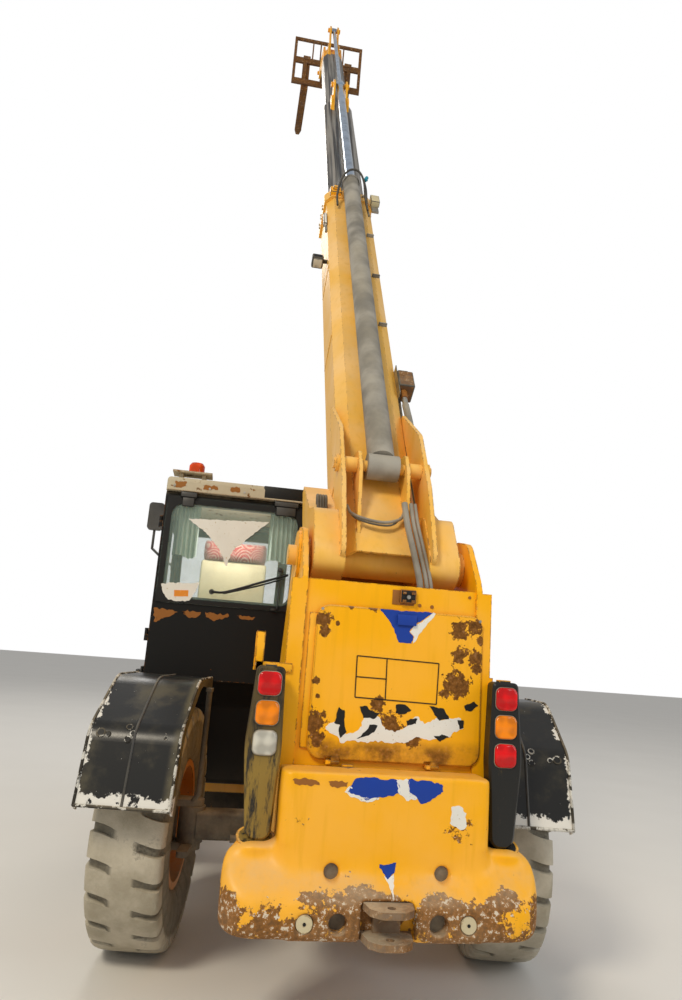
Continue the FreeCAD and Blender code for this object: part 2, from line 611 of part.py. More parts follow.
def tower():
    """Side plates that carry the boom foot, with rear flanges, doublers, deck, back sheet and lamp arms."""
    parts = []
    for side in (-1, 1):
        outer = TOWER_X + side * TOWER_HALF
        inner = TOWER_X + side * (TOWER_HALF - TOWER_PLATE)
        x0, x1 = sorted((outer, inner))
        parts.append(along_x([
            (TOWER_REAR_Y, REAR_DECK_Z, 0), (60, REAR_DECK_Z, 60), (60, 1560, 80), (-240, PIVOT_Z + 60, 120),
            (PIVOT_Y + 60, PIVOT_Z + 170, 110), (PIVOT_Y - 120, PIVOT_Z + 130, 110),
            (TOWER_REAR_Y + 30, TOWER_TOP_Z, 60),
            (TOWER_REAR_Y, TOWER_TOP_Z - 60, 0)], x0, x1))
        # outward flange of the rear edge, with a round top corner
        x2, x3 = sorted((outer, outer + side * FLANGE_WIDTH))
        parts.append(box(min(x0, x2), max(x1, x3), TOWER_REAR_Y, TOWER_REAR_Y + 14, WEIGHT_TOP_Z - 25,
                         TOWER_TOP_Z - 70))
        parts.append(box(x0, x1, TOWER_REAR_Y, TOWER_REAR_Y + 60, WEIGHT_TOP_Z - 25, REAR_DECK_Z + 10))
        # doublers round the pivot pin
        boss = Part.makeCylinder(PIVOT_BOSS_RADIUS + 40, 16, V(outer, PIVOT_Y, PIVOT_Z), V(side, 0, 0))
        parts.append(boss)
    x0 = TOWER_X - TOWER_HALF
    x1 = TOWER_X + TOWER_HALF
    # deck, open where the lift ram swings
    deck = box(x0, x1, TOWER_REAR_Y + 60, 60, REAR_DECK_Z, REAR_DECK_Z + PLATE)
    parts.append(deck.cut(box(BOOM_X - 130, BOOM_X + 130, LIFT_BASE_Y + 40, 100, REAR_DECK_Z - 50,
                              REAR_DECK_Z + 50)))
    # back sheet above and round the access door
    sheet = box(x0 + 10, x1 - 10, TOWER_REAR_Y + 14, TOWER_REAR_Y + 24, WEIGHT_TOP_Z - 10, 1985)
    hole = along_y(rounded_box(TOWER_X - 395, TOWER_X + 435, 1190, 1800, 60), TOWER_REAR_Y - 50,
                   TOWER_REAR_Y + 90)
    sheet = sheet.cut(hole)
    parts.append(sheet)
    # brackets and pins of the access door's hinges
    for x in PANEL_HINGE_X:
        near = x - RUN_FIT
        parts += [box(near - 24, near, PANEL_HINGE_Y - PANEL_EYE, TOWER_REAR_Y + 15,
                      PANEL_HINGE_Z - PANEL_EYE,
                      PANEL_HINGE_Z + PANEL_EYE),
                  bar(V(near - 12, PANEL_HINGE_Y, PANEL_HINGE_Z),
                      V(x + HINGE_LENGTH, PANEL_HINGE_Y, PANEL_HINGE_Z),
                      PANEL_PIN)]
    body = joined(parts)
    # bores for the pivot pin, which the boom foot carries
    body = body.cut(Part.makeCylinder(PIVOT_PIN_RADIUS + RUN_FIT, 4 * TOWER_HALF,
                                      V(TOWER_X - 2 * TOWER_HALF, PIVOT_Y, PIVOT_Z), V(1, 0, 0)))
    # arms that carry the lamp housings
    arms = []
    for side in (-1, 1):
        reach = LAMP_X + side * (LAMP_OFFSET_X - 20)
        near = TOWER_X + side * (TOWER_HALF - 5)
        a, b = sorted((reach, near))
        arms.append(box(a, b, TOWER_REAR_Y, TOWER_REAR_Y + 12, REAR_DECK_Z + 70, REAR_DECK_Z + 110))
        arms.append(box(reach - 25, reach + 25, LAMP_REAR_Y + LAMP_CASE_DEPTH, TOWER_REAR_Y + 12,
                        REAR_DECK_Z + 70,
                        REAR_DECK_Z + 82))
    tip = LAMP_X - LAMP_OFFSET_X - 78
    arms.append(box(tip, LAMP_X - LAMP_OFFSET_X + 30, TOWER_REAR_Y, TOWER_REAR_Y + 12, REAR_DECK_Z + 70,
                    REAR_DECK_Z + 110))
    arms.append(box(tip, tip + 26, TOWER_REAR_Y, TOWER_REAR_Y + 12, REAR_DECK_Z + 100, REAR_DECK_Z + 250))
    return joined([body] + arms)


def access_door():
    """Pressed cover in the back sheet, hinged along its lower edge, with a latch."""
    x0, x1 = TOWER_X - 385, TOWER_X + 475
    y = TOWER_REAR_Y
    door = along_y(rounded_box(x0, x1, 1128, 1860, 70), y - 14, y - 0.3)
    edges = [edge for edge in door.Edges if abs(edge.BoundBox.YMin - (y - 14)) < 0.01
             and abs(edge.BoundBox.YMax - (y - 14)) < 0.01]
    door = door.makeChamfer(7, edges)
    latch = box(TOWER_X + 25, TOWER_X + 115, y - 26, y - 13, 1790, 1835)
    eyes = []
    for x in PANEL_HINGE_X:
        eyes += [bar(V(x, PANEL_HINGE_Y, PANEL_HINGE_Z), V(x + HINGE_LENGTH, PANEL_HINGE_Y, PANEL_HINGE_Z),
                     PANEL_EYE),
                 box(x, x + HINGE_LENGTH, PANEL_HINGE_Y - 6, PANEL_HINGE_Y + 8, PANEL_HINGE_Z, 1145)]
    stiffener = along_y(rounded_box(x0 + 130, x1 - 130, 1230, 1770, 40), y - 0.4, y + 40)
    stiffener = stiffener.cut(along_y(rounded_box(x0 + 150, x1 - 150, 1250, 1750, 30), y - 1, y + 41))
    door = joined([door, latch, stiffener] + eyes)
    for x in PANEL_HINGE_X:
        # the corner of the sheet passes over the tower's bracket
        door = door.cut(box(x - PANEL_NOTCH, x - RUN_FIT, y - 20, y + 1, 1120, 1128 + PANEL_NOTCH_HEIGHT))
    return door.cut(bar(V(x0, PANEL_HINGE_Y, PANEL_HINGE_Z), V(x1, PANEL_HINGE_Y, PANEL_HINGE_Z),
                        PANEL_PIN + RUN_FIT))


def lamp_case(side):
    """Curved, tapering lamp housing on its round foot plate."""
    x = LAMP_X + side * LAMP_OFFSET_X
    corners = [(side * 62, LAMP_CASE_TOP_Z, 25), (-side * 68, LAMP_CASE_TOP_Z, 25), (-side * 80, 1180, 500),
               (-side * 62, LAMP_CASE_LOW_Z, 50), (side * 50, LAMP_CASE_LOW_Z, 50), (side * 88, 1180, 700)]
    corners = [(x + u, z, r) for u, z, r in corners]
    case = along_y(corners, LAMP_REAR_Y, LAMP_REAR_Y + LAMP_CASE_DEPTH)
    rear = [edge for edge in case.Edges if abs(edge.BoundBox.YMax - LAMP_REAR_Y) < 0.01]
    case = case.makeChamfer(10, rear)
    for row in range(3):
        z = LAMP_TOP_Z - row * LAMP_PITCH
        pocket = along_y(rounded_box(x - LAMP_SIZE / 2 - 1, x + LAMP_SIZE / 2 + 1, z - LAMP_SIZE / 2 - 1,
                                     z + LAMP_SIZE / 2 + 1, 30), LAMP_REAR_Y - 5, LAMP_REAR_Y + 16)
        case = case.cut(pocket)
    return case


def lamp_lens(side, row):
    """One square lens with round corners, standing a little out of its housing."""
    x = LAMP_X + side * LAMP_OFFSET_X
    z = LAMP_TOP_Z - row * LAMP_PITCH
    lens = along_y(rounded_box(x - LAMP_SIZE / 2, x + LAMP_SIZE / 2, z - LAMP_SIZE / 2, z + LAMP_SIZE / 2,
                               29),
                   LAMP_REAR_Y - 14, LAMP_REAR_Y + 16)
    face = [edge for edge in lens.Edges if abs(edge.BoundBox.YMax - (LAMP_REAR_Y - 14)) < 0.01]
    return lens.makeChamfer(6, face)


# Boom

def section(half, low, top, chamfer):
    """Boom section with bent top corners, in X and N."""
    return [(-half, low, 0), (half, low, 0), (half, top - chamfer, 0), (half - chamfer, top, 0),
            (-half + chamfer, top, 0), (-half, top - chamfer, 0)]


def boom_tube(half, low, top, start, end):
    """Hollow boom section from start to end along S."""
    outer = along_y(section(half, low, top, CHAMFER), start, end)
    wall = BOOM_WALL
    bore = along_y(section(half - wall, low + wall, top - wall, CHAMFER - wall * 0.6), start - 1, end + 1)
    return outer.cut(bore)


def boom_sizes(stage):
    """Half width, lower and upper N of a boom stage, 0 for the outermost."""
    shrink = stage * (SECTION_STEP + 1)
    return OUTER_HALF - shrink, OUTER_LOW_N + shrink, OUTER_TOP_N - shrink


def boom_outer():
    """Outer boom: tube, foot box on the pivot pin, ears for the telescopic ram, end collar, lift ram lugs."""
    half, low, top = boom_sizes(0)
    parts = [boom_tube(half, low, top, -60, OUTER_END_S)]
    left_face = TOWER_X - TOWER_HALF + TOWER_PLATE - BOOM_X
    right_face = TOWER_X + TOWER_HALF - TOWER_PLATE - BOOM_X
    cheek_out = -left_face - CHEEK_GAP
    for side in (-1, 1):
        a, b = sorted((side * half, side * cheek_out))
        parts.append(along_x([(-190, -150, 60), (160, low, 40), (CHEEK_REACH, low, 0),
                              (CHEEK_REACH, low + 60, 0), (330, 40, 120),
                              (170, 215, 90), (-190, 205, 90)], a, b))
        # ear beside the ram, on the bent top corner
        ear_in, ear_out = sorted((side * (half + 6), side * (half + 30)))
        parts.append(along_x([(-150, 120, 0), (1250, 60, 0), (1250, 100, 0), (760, RAM_N + 70, 130),
                              (300, RAM_N + 70, 90), (-150, 250, 60)], ear_in, ear_out))
        # clevis plate of the ram eye
        clevis_in, clevis_out = sorted((side * 128, side * 148))
        parts.append(along_x([(60, top - 5, 0), (RAM_EYE_S + 180, top - 5, 0),
                              (RAM_EYE_S + 70, RAM_N + 60, 60),
                              (RAM_EYE_S - 70, RAM_N + 60, 60)], clevis_in, clevis_out))
    parts.append(bar(V(-half - 62, RAM_EYE_S, RAM_N), V(half + 62, RAM_EYE_S, RAM_N), RAM_PIN_RADIUS))
    for side in (-1, 1):
        parts.append(bar(V(side * (half + 30), RAM_EYE_S, RAM_N), V(side * (half + 50), RAM_EYE_S, RAM_N),
                         50))
        parts.append(bar(V(side * 148, RAM_EYE_S, RAM_N), V(side * (half + 6), RAM_EYE_S, RAM_N), 44))
    # pivot pin, through the foot box and out of the tower's side plates
    pin_left = TOWER_X - TOWER_HALF - 60 - BOOM_X
    pin_right = TOWER_X + TOWER_HALF + 60 - BOOM_X
    parts.append(bar(V(pin_left, 0, 0), V(pin_right, 0, 0), PIVOT_PIN_RADIUS))
    parts.append(bar(V(left_face + RUN_FIT, 0, 0), V(right_face - RUN_FIT, 0, 0), PIVOT_BOSS_RADIUS))
    # end collar
    collar = along_y(section(half + 22, low - 18, top + 18, CHAMFER), OUTER_END_S - 170, OUTER_END_S)
    collar = collar.cut(along_y(section(half - 1, low + 1, top - 1, CHAMFER), OUTER_END_S - 171,
                                OUTER_END_S + 1))
    parts.append(collar)
    # saddle under the ram's far end
    saddle = along_y([(-95, top - 4, 0), (95, top - 4, 0), (70, RAM_N - 10, 0), (-70, RAM_N - 10, 0)],
                     OUTER_END_S - 150, OUTER_END_S - 110)
    parts.append(saddle)
    parts += wear_pads(0, OUTER_END_S)
    # lugs of the lift ram
    for side in (-1, 1):
        lug_in, lug_out = sorted((side * 92, side * 118))
        parts.append(along_x([(LIFT_EYE_S - 190, low + 4, 0), (LIFT_EYE_S - 60, LIFT_EYE_N - 62, 50),
                              (LIFT_EYE_S + 60, LIFT_EYE_N - 62, 50), (LIFT_EYE_S + 190, low + 4, 0)],
                              lug_in, lug_out))
        parts.append(bar(V(side * 118, LIFT_EYE_S, LIFT_EYE_N), V(side * 150, LIFT_EYE_S, LIFT_EYE_N),
                         LIFT_PIN_RADIUS + 14))
    body = joined(parts)
    # the barrel and its eye pass free between the clevis plates
    body = body.cut(Part.makeCylinder(RAM_RADIUS + RUN_FIT, OUTER_END_S, V(0, RAM_EYE_S + 90, RAM_N),
                                      V(0, 1, 0)))
    eye_room = bar(V(-100, RAM_EYE_S, RAM_N), V(100, RAM_EYE_S, RAM_N), RAM_RADIUS + 24)
    body = body.cut(eye_room.cut(bar(V(-100, RAM_EYE_S, RAM_N), V(100, RAM_EYE_S, RAM_N), RAM_PIN_RADIUS)))
    return boom_place(body)


def wear_pads(stage, end):
    """Sliding pads at a stage's open end, on its inside, that reach to the next stage."""
    half, low, top = boom_sizes(stage)
    next_half, next_low, next_top = boom_sizes(stage + 1)
    start, stop = end - PAD_INSET - PAD_LENGTH, end - PAD_INSET
    wall = BOOM_WALL - 1
    pads = []
    for side in (-1, 1):
        x0, x1 = sorted((side * (next_half + RUN_FIT), side * (half - wall)))
        pads.append(box(x0, x1, start, stop, low + 60, low + 180))
        x0, x1 = sorted((side * 30, side * (next_half - CHAMFER)))
        pads.append(box(x0, x1, start, stop, low + wall, next_low - RUN_FIT))
        pads.append(box(x0, x1, start, stop, next_top + RUN_FIT, top - wall))
    return pads


def boom_stage(stage, start, end, eye_s, grip):
    """A sliding boom stage with two head plates that hold a ram rod's head, grip wide each way."""
    half, low, top = boom_sizes(stage)
    parts = [boom_tube(half, low, top, start, end)]
    for side in (-1, 1):
        a, b = sorted((side * (grip + 12), side * (grip + 36)))
        parts.append(along_x([(end - 420, top - 4, 0), (end - 6, top - 4, 0), (eye_s + 75, RAM_N - 20, 40),
                              (eye_s + 45, RAM_N + 62, 40), (eye_s - 110, RAM_N + 62, 90)], a, b))
        c, d = sorted((side * (grip + 34), side * max(half - CHAMFER, grip + 54)))
        parts.append(along_x([(end - 400, top - 4, 0), (end - 4, top - 4, 0), (end - 4, top + 90, 60),
                              (end - 220, top + 90, 90)], c, d))
        parts.append(bar(V(side * (grip + RUN_FIT), eye_s, RAM_N), V(side * (grip + 66), eye_s, RAM_N), 34))
    return parts


def boom_mid():
    """Middle boom stage."""
    parts = boom_stage(1, MID_START_S, MID_END_S, ROD_1_EYE_S, ROD_1_HEAD)
    return boom_place(joined(parts + wear_pads(1, MID_END_S)))


def boom_inner():
    """Inner boom stage with the head that carries the carriage pivot and the tilt ram."""
    _, low, top = boom_sizes(2)
    parts = boom_stage(2, INNER_START_S, INNER_END_S, ROD_2_EYE_S, ROD_2_HEAD)
    for side in (-1, 1):
        a, b = sorted((side * HEAD_HALF, side * (HEAD_HALF + HEAD_PLATE)))
        parts.append(along_x([
            (INNER_END_S - 260, low - 20, 0), (INNER_END_S - 260, top - 40, 0),
            (INNER_END_S + 180, top - 10, 120),
            (HEAD_PIVOT_S + 60, HEAD_PIVOT_N + 190, 120), (HEAD_PIVOT_S + 75, HEAD_PIVOT_N - 75, 70),
            (HEAD_PIVOT_S - 85, HEAD_PIVOT_N - 75, 70), (INNER_END_S + 160, low - 60, 160)], a, b))
        parts.append(bar(V(side * (HEAD_HALF - 10), TILT_BASE_S, TILT_BASE_N),
                         V(side * (HEAD_HALF + HEAD_PLATE + 12), TILT_BASE_S, TILT_BASE_N),
                         TILT_PIN_RADIUS + 12))
    nose = along_y(section(HEAD_HALF + HEAD_PLATE, low, top - 20, CHAMFER - 20), INNER_END_S - 20,
                   INNER_END_S)
    nose = nose.cut(along_y(rounded_box(-HEAD_HALF + 2, HEAD_HALF - 2, low + 40, top - 50, 20),
                            INNER_END_S - 30, INNER_END_S + 30))
    parts.append(nose)
    body = joined(parts)
    cross = bar(V(-HEAD_HALF - HEAD_PLATE - 30, HEAD_PIVOT_S, HEAD_PIVOT_N),
                V(HEAD_HALF + HEAD_PLATE + 30, HEAD_PIVOT_S, HEAD_PIVOT_N), PIN_HEAD_RADIUS)
    tilt_pin = bar(V(-HEAD_HALF - 5, TILT_BASE_S, TILT_BASE_N), V(HEAD_HALF + 5, TILT_BASE_S, TILT_BASE_N),
                   TILT_PIN_RADIUS)
    return boom_place(joined([body, cross, tilt_pin]))


def ram_barrel():
    """Barrel of the telescopic ram, with its eye block on the ears' pin."""
    barrel = pipe(V(0, RAM_EYE_S + 60, RAM_N), V(0, OUTER_END_S - 10, RAM_N), RAM_RADIUS,
                  ROD_1_RADIUS + RUN_FIT)
    foot = bar(V(0, RAM_EYE_S + 60, RAM_N), V(0, RAM_EYE_S + 110, RAM_N), RAM_RADIUS)
    eye = bar(V(-92, RAM_EYE_S, RAM_N), V(92, RAM_EYE_S, RAM_N), RAM_RADIUS - 4)
    gland = pipe(V(0, OUTER_END_S - 110, RAM_N), V(0, OUTER_END_S - 10, RAM_N), RAM_RADIUS + 8,
                 ROD_1_RADIUS + RUN_FIT)
    gland_cut = bar(V(0, OUTER_END_S - 112, RAM_N), V(0, OUTER_END_S - 40, RAM_N), RAM_RADIUS + 20)
    body = joined([barrel, foot, eye])
    collar = gland.cut(gland_cut)
    body = joined([body, collar])
    return boom_place(body.cut(bar(V(-100, RAM_EYE_S, RAM_N), V(100, RAM_EYE_S, RAM_N),
                                   RAM_PIN_RADIUS + RUN_FIT)))


def ram_rod_1():
    """First rod, hollow, with the collar and eye that the middle stage holds."""
    start = OUTER_END_S - STROKE_OUT - 340
    rod = pipe(V(0, start, RAM_N), V(0, ROD_1_EYE_S - 40, RAM_N), ROD_1_RADIUS, ROD_2_RADIUS + RUN_FIT)
    collar = pipe(V(0, ROD_1_EYE_S - 50, RAM_N), V(0, ROD_1_EYE_S + 50, RAM_N), ROD_1_HEAD,
                  ROD_2_RADIUS + RUN_FIT)
    return boom_place(joined([rod, collar]))


def ram_rod_2():
    """Second rod, which the inner stage's head holds."""
    start = ROD_1_EYE_S - STROKE_OUT - 260
    rod = bar(V(0, start, RAM_N), V(0, ROD_2_EYE_S, RAM_N), ROD_2_RADIUS)
    eye = bar(V(-ROD_2_HEAD, ROD_2_EYE_S, RAM_N), V(ROD_2_HEAD, ROD_2_EYE_S, RAM_N), 42)
    return boom_place(joined([rod, eye]))


def lift_line():
    """Base pin and rod eye of the lift ram, and the unit vector between them."""
    base = V(BOOM_X, LIFT_BASE_Y, LIFT_BASE_Z)
    eye = boom_point(LIFT_EYE_S, LIFT_EYE_N)
    way = eye - base
    return base, eye, way.multiply(1 / way.Length)


def lift_barrel():
    """Barrel of the lift ram on its base pin."""
    base, _, way = lift_line()
    gland = base + way * LIFT_BARREL
    eye_half = V(LIFT_EAR_IN - 4, 0, 0)
    pin_half = V(LIFT_EAR_IN + LIFT_EAR + 12, 0, 0)
    parts = [bar(base - eye_half, base + eye_half, LIFT_EYE_RADIUS), bar(base, gland, LIFT_RADIUS),
             bar(base - pin_half, base + pin_half, LIFT_PIN_RADIUS)]
    body = joined(parts)
    return body.cut(bar(base + way * 95, gland + way * 10, LIFT_ROD_RADIUS + RUN_FIT))


def lift_rod():
    """Rod of the lift ram; its eye stands open between the boom's lugs."""
    _, eye, way = lift_line()
    parts = [bar(eye - way * LIFT_ROD, eye, LIFT_ROD_RADIUS),
             bar(eye - V(60, 0, 0), eye + V(60, 0, 0), LIFT_EYE_RADIUS)]
    body = joined(parts)
    return body.cut(bar(eye - V(70, 0, 0), eye + V(70, 0, 0), LIFT_PIN_RADIUS))


def tilt_line():
    """Base pin and rod eye of the tilt ram, and the unit vector between them."""
    base = boom_point(TILT_BASE_S, TILT_BASE_N)
    pivot = boom_point(HEAD_PIVOT_S, HEAD_PIVOT_N)
    eye = pivot + V(0, 0, TILT_ARM)
    way = eye - base
    return base, eye, way.multiply(1 / way.Length)


def tilt_barrel():
    """Barrel of the tilt ram, on the pin inside the boom head."""
    base, _, way = tilt_line()
    gland = base + way * TILT_BARREL
    parts = [bar(base - V(60, 0, 0), base + V(60, 0, 0), 48), bar(base, gland, TILT_RADIUS)]
    body = joined(parts)
    body = body.cut(bar(base + way * 60, gland + way * 10, TILT_ROD_RADIUS + RUN_FIT))
    return body.cut(bar(base - V(70, 0, 0), base + V(70, 0, 0), TILT_PIN_RADIUS + RUN_FIT))


def tilt_rod():
    """Rod of the tilt ram; its eye stands open between the carriage's lugs."""
    base, eye, way = tilt_line()
    start = base + way * (TILT_BARREL - 190)
    parts = [bar(start, eye, TILT_ROD_RADIUS), bar(eye - V(45, 0, 0), eye + V(45, 0, 0), 45)]
    return joined(parts).cut(bar(eye - V(50, 0, 0), eye + V(50, 0, 0), TILT_PIN_RADIUS))


def carriage():
    """Fork carriage: two bars, side plates, pivot lugs and guard grid."""
    pivot = boom_point(HEAD_PIVOT_S, HEAD_PIVOT_N)
    half = CARRIAGE_WIDTH / 2
    y = pivot.y + CARRIAGE_AHEAD
    low = pivot.z - 110
    high = low + CARRIAGE_HEIGHT
    x = BOOM_X
    parts = []
    for z0, z1 in ((low, low + 110), (high - 110, high)):
        parts.append(box(x - half, x + half, y, y + 40, z0, z1))
    for side in (-1, 1):
        lug_in, lug_out = sorted((x + side * 78, x + side * (HEAD_HALF - 4)))
        lug = along_x([(y + 30, low, 0), (y + 30, high - 20, 0), (y - 20, high - 20, 30),
                       (pivot.y - 60, pivot.z + TILT_ARM + 55, 50),
                       (pivot.y - 55, pivot.z + TILT_ARM - 60, 50),
                       (pivot.y + 40, pivot.z + 120, 60), (pivot.y - 62, pivot.z + 50, 55),
                       (pivot.y - 62, pivot.z - 62, 55), (pivot.y + 60, pivot.z - 62, 40)], lug_in, lug_out)
        parts.append(lug)
        parts.append(box(x + side * 400 - 30, x + side * 400 + 30, y + 2, y + 38, low + 50, high - 50))
        parts.append(bar(V(x + side * (HEAD_HALF - 6), pivot.y, pivot.z + TILT_ARM),
                         V(x + side * (HEAD_HALF + 22), pivot.y, pivot.z + TILT_ARM), TILT_PIN_RADIUS + 8))
        parts.append(box(x + side * half - 25, x + side * half + 25, y, y + 40, low, high + 420))
    parts.append(box(x - half - 25, x + half + 25, y, y + 40, high + 370, high + 420))
    for column in range(5):
        cx = x + (column - 2) * 140
        parts.append(box(cx - 12, cx + 12, y + 8, y + 32, high - 20, high + 380))
    body = joined(parts)
    return body.cut(bar(V(x - 300, pivot.y, pivot.z), V(x + 300, pivot.y, pivot.z),
                        PIN_HEAD_RADIUS + RUN_FIT))


def forks():
    """Two forged forks hooked on the carriage bars."""
    pivot = boom_point(HEAD_PIVOT_S, HEAD_PIVOT_N)
    y = pivot.y + CARRIAGE_AHEAD + 40
    low = pivot.z - 110
    high = low + CARRIAGE_HEIGHT
    thick = FORK_THICK
    tines = []
    for side in (-1, 1):
        x = BOOM_X + side * FORK_SPREAD / 2
        tine = along_x([(y + 0.3, low - 65, 40), (y + FORK_LENGTH, low - 65, 0),
                        (y + FORK_LENGTH, low - 55, 0),
                        (y + 300, low - 65 + thick, 0), (y + thick, low - 65 + thick, 40),
                        (y + thick, high + 30, 0),
                        (y - 55, high + 30, 0), (y - 55, high - 40, 0), (y - 40.3, high - 40, 0),
                        (y - 40.3, high + 0.3, 0), (y + 0.3, high + 0.3, 0)],
                       x - FORK_WIDTH / 2, x + FORK_WIDTH / 2)
        tip = along_z([(x - FORK_WIDTH / 2 - 1, y - 100, 0), (x + FORK_WIDTH / 2 + 1, y - 100, 0),
                       (x + FORK_WIDTH / 2 + 1, y + FORK_LENGTH - 120, 0), (x + 30, y + FORK_LENGTH + 1, 20),
                       (x - 30, y + FORK_LENGTH + 1, 20), (x - FORK_WIDTH / 2 - 1, y + FORK_LENGTH - 120, 0)],
                      low - 100, high + 100)
        tines.append(tine.common(tip))
    return Part.makeCompound(tines)


# Cab

def cab_profile(inset):
    """Side outline of the cab in Y and Z, drawn in by an inset."""
    i = inset
    return [
        (CAB_REAR_Y + i, CAB_ARCH_Z + i, 0), (CAB_REAR_Y + i, CAB_ROOF_Z - i, 40),
        (CAB_FRONT_Y - 370 - i * 0.8, CAB_ROOF_Z - i, 60),
        (CAB_FRONT_Y - 40 - i, 1500, 300), (CAB_FRONT_Y - i, CAB_FLOOR_Z + i, 60),
        (830 + i, CAB_FLOOR_Z + i, 40),
        (830 + i, 1210 + i * 0.6, 60), (715 + i * 0.7, CAB_ARCH_Z + i, 60)]


def door_profile(inset):
    """Outline of the door in Y and Z, drawn in by an inset."""
    i = inset
    return [
        (440 + i, CAB_ARCH_Z + 62 + i, 30), (440 + i, CAB_ROOF_Z - 75 - i, 60),
        (CAB_FRONT_Y - 430 - i, CAB_ROOF_Z - 75 - i, 60),
        (CAB_FRONT_Y - 130 - i, 1500, 200), (CAB_FRONT_Y - 100 - i, CAB_FLOOR_Z + 70 + i, 40),
        (900 + i, CAB_FLOOR_Z + 70 + i, 40),
        (900 + i, 1260 + i, 60), (780 + i, CAB_ARCH_Z + 62 + i, 60)]


def cab_frame():
    """Welded cab shell: rear wall, right wall, front and left posts, floor, with its openings cut."""
    outer = along_x(cab_profile(0), CAB_LEFT_X, CAB_RIGHT_X)
    inner = along_x(cab_profile(CAB_WALL), CAB_LEFT_X + CAB_WALL, CAB_RIGHT_X - CAB_WALL)
    # the right side steps in over the chassis rail
    step_x = -RAIL_OUTER_X - CAB_RAIL_GAP
    step_z = RAIL_TOP_Z + CAB_RAIL_GAP
    outer = outer.cut(box(step_x, CAB_RIGHT_X + 10, 0, CAB_FRONT_Y + 10, CAB_FLOOR_Z - 10, step_z))
    inner = inner.cut(box(step_x - CAB_WALL, CAB_RIGHT_X + 10, 0, CAB_FRONT_Y + 10, CAB_FLOOR_Z - 10,
                          step_z + CAB_WALL))
    shell = outer.cut(inner)
    # rear window, windscreen, right window, roof hatch opening and door opening
    shell = shell.cut(along_y(rounded_box(CAB_LEFT_X + 70, CAB_RIGHT_X - 70, 1915, 2515, 60), 0, 700))
    shell = shell.cut(along_y(rounded_box(CAB_LEFT_X + 70, CAB_RIGHT_X - 70, 1130, 2490, 60),
                              CAB_FRONT_Y - 530, CAB_FRONT_Y + 270))
    shell = shell.cut(along_x([(470, 1640, 60), (470, 2500, 60), (CAB_FRONT_Y - 450, 2500, 60),
                               (CAB_FRONT_Y - 190, 1560, 160),
                               (CAB_FRONT_Y - 170, 1250, 60), (980, 1250, 60), (860, 1640, 60)],
                              CAB_RIGHT_X - CAB_WALL - 5, CAB_RIGHT_X + 5))
    shell = shell.cut(along_x(door_profile(0), CAB_LEFT_X - 5, CAB_LEFT_X + CAB_WALL + 5))
    shell = shell.cut(along_z([(CAB_LEFT_X + 110, 520, 60), (CAB_RIGHT_X - 110, 520, 60),
                               (CAB_RIGHT_X - 110, 1400, 60), (CAB_LEFT_X + 110, 1400, 60)], 2500, 2700))
    # lower eyes of the door's hinges, each with its pin
    hinges = []
    for z in DOOR_HINGE_Z:
        foot = V(CAB_LEFT_X - DOOR_HINGE_OUT, DOOR_HINGE_Y, z)
        hinges += [bar(foot, foot + V(0, 0, HINGE_LENGTH), HINGE_EYE),
                   bar(foot, foot + V(0, 0, 2 * HINGE_LENGTH), HINGE_PIN),
                   box(foot.x, CAB_LEFT_X + 1, DOOR_HINGE_Y - HINGE_EYE - 40, DOOR_HINGE_Y, z,
                       z + HINGE_LENGTH)]
    return joined([shell] + hinges)


def cab_roof():
    """Moulded roof with an overhanging rear band."""
    x0, x1 = CAB_LEFT_X, CAB_RIGHT_X
    z = CAB_ROOF_Z + 0.3
    roof = along_x([(CAB_REAR_Y - 30, z, 0), (CAB_REAR_Y - 30, z + ROOF_THICK, 35),
                    (CAB_FRONT_Y - 430, z + ROOF_THICK, 60),
                    (CAB_FRONT_Y - 330, z + 10, 0), (CAB_FRONT_Y - 330, z, 0)], x0, x1)
    edges = [edge for edge in roof.Edges if edge.BoundBox.XMax - edge.BoundBox.XMin < 1
             and edge.BoundBox.ZMin > z + 1]
    return roof.makeFillet(22, edges)


def cab_glass():
    """Rear window on the outside of its opening, windscreen, right window and roof window."""
    rear = along_y(rounded_box(CAB_LEFT_X + 15, CAB_RIGHT_X - 10, 1868, 2562, 55),
                   CAB_REAR_Y - GLASS - 0.3, CAB_REAR_Y - 0.3)
    panes = [rear]
    outer = along_x(cab_profile(-GLASS - 0.3), CAB_LEFT_X + 50, CAB_RIGHT_X - 50)
    inner = along_x(cab_profile(-0.3), CAB_LEFT_X + 40, CAB_RIGHT_X - 40)
    skin = outer.cut(inner)
    front = skin.common(along_y(rounded_box(CAB_LEFT_X + 52, CAB_RIGHT_X - 52, 1100, 2520, 60),
                               CAB_FRONT_Y - 480, CAB_FRONT_Y + 270))
    panes.append(front)
    side = along_x([(450, 1620, 60), (450, 2520, 60), (CAB_FRONT_Y - 435, 2520, 60),
                    (CAB_FRONT_Y - 168, 1560, 160),
                    (CAB_FRONT_Y - 148, 1230, 60),
                    (965, 1230, 60), (845, 1620, 60)], CAB_RIGHT_X + 0.3, CAB_RIGHT_X + 0.3 + GLASS)
    panes.append(side)
    return Part.makeCompound(panes)


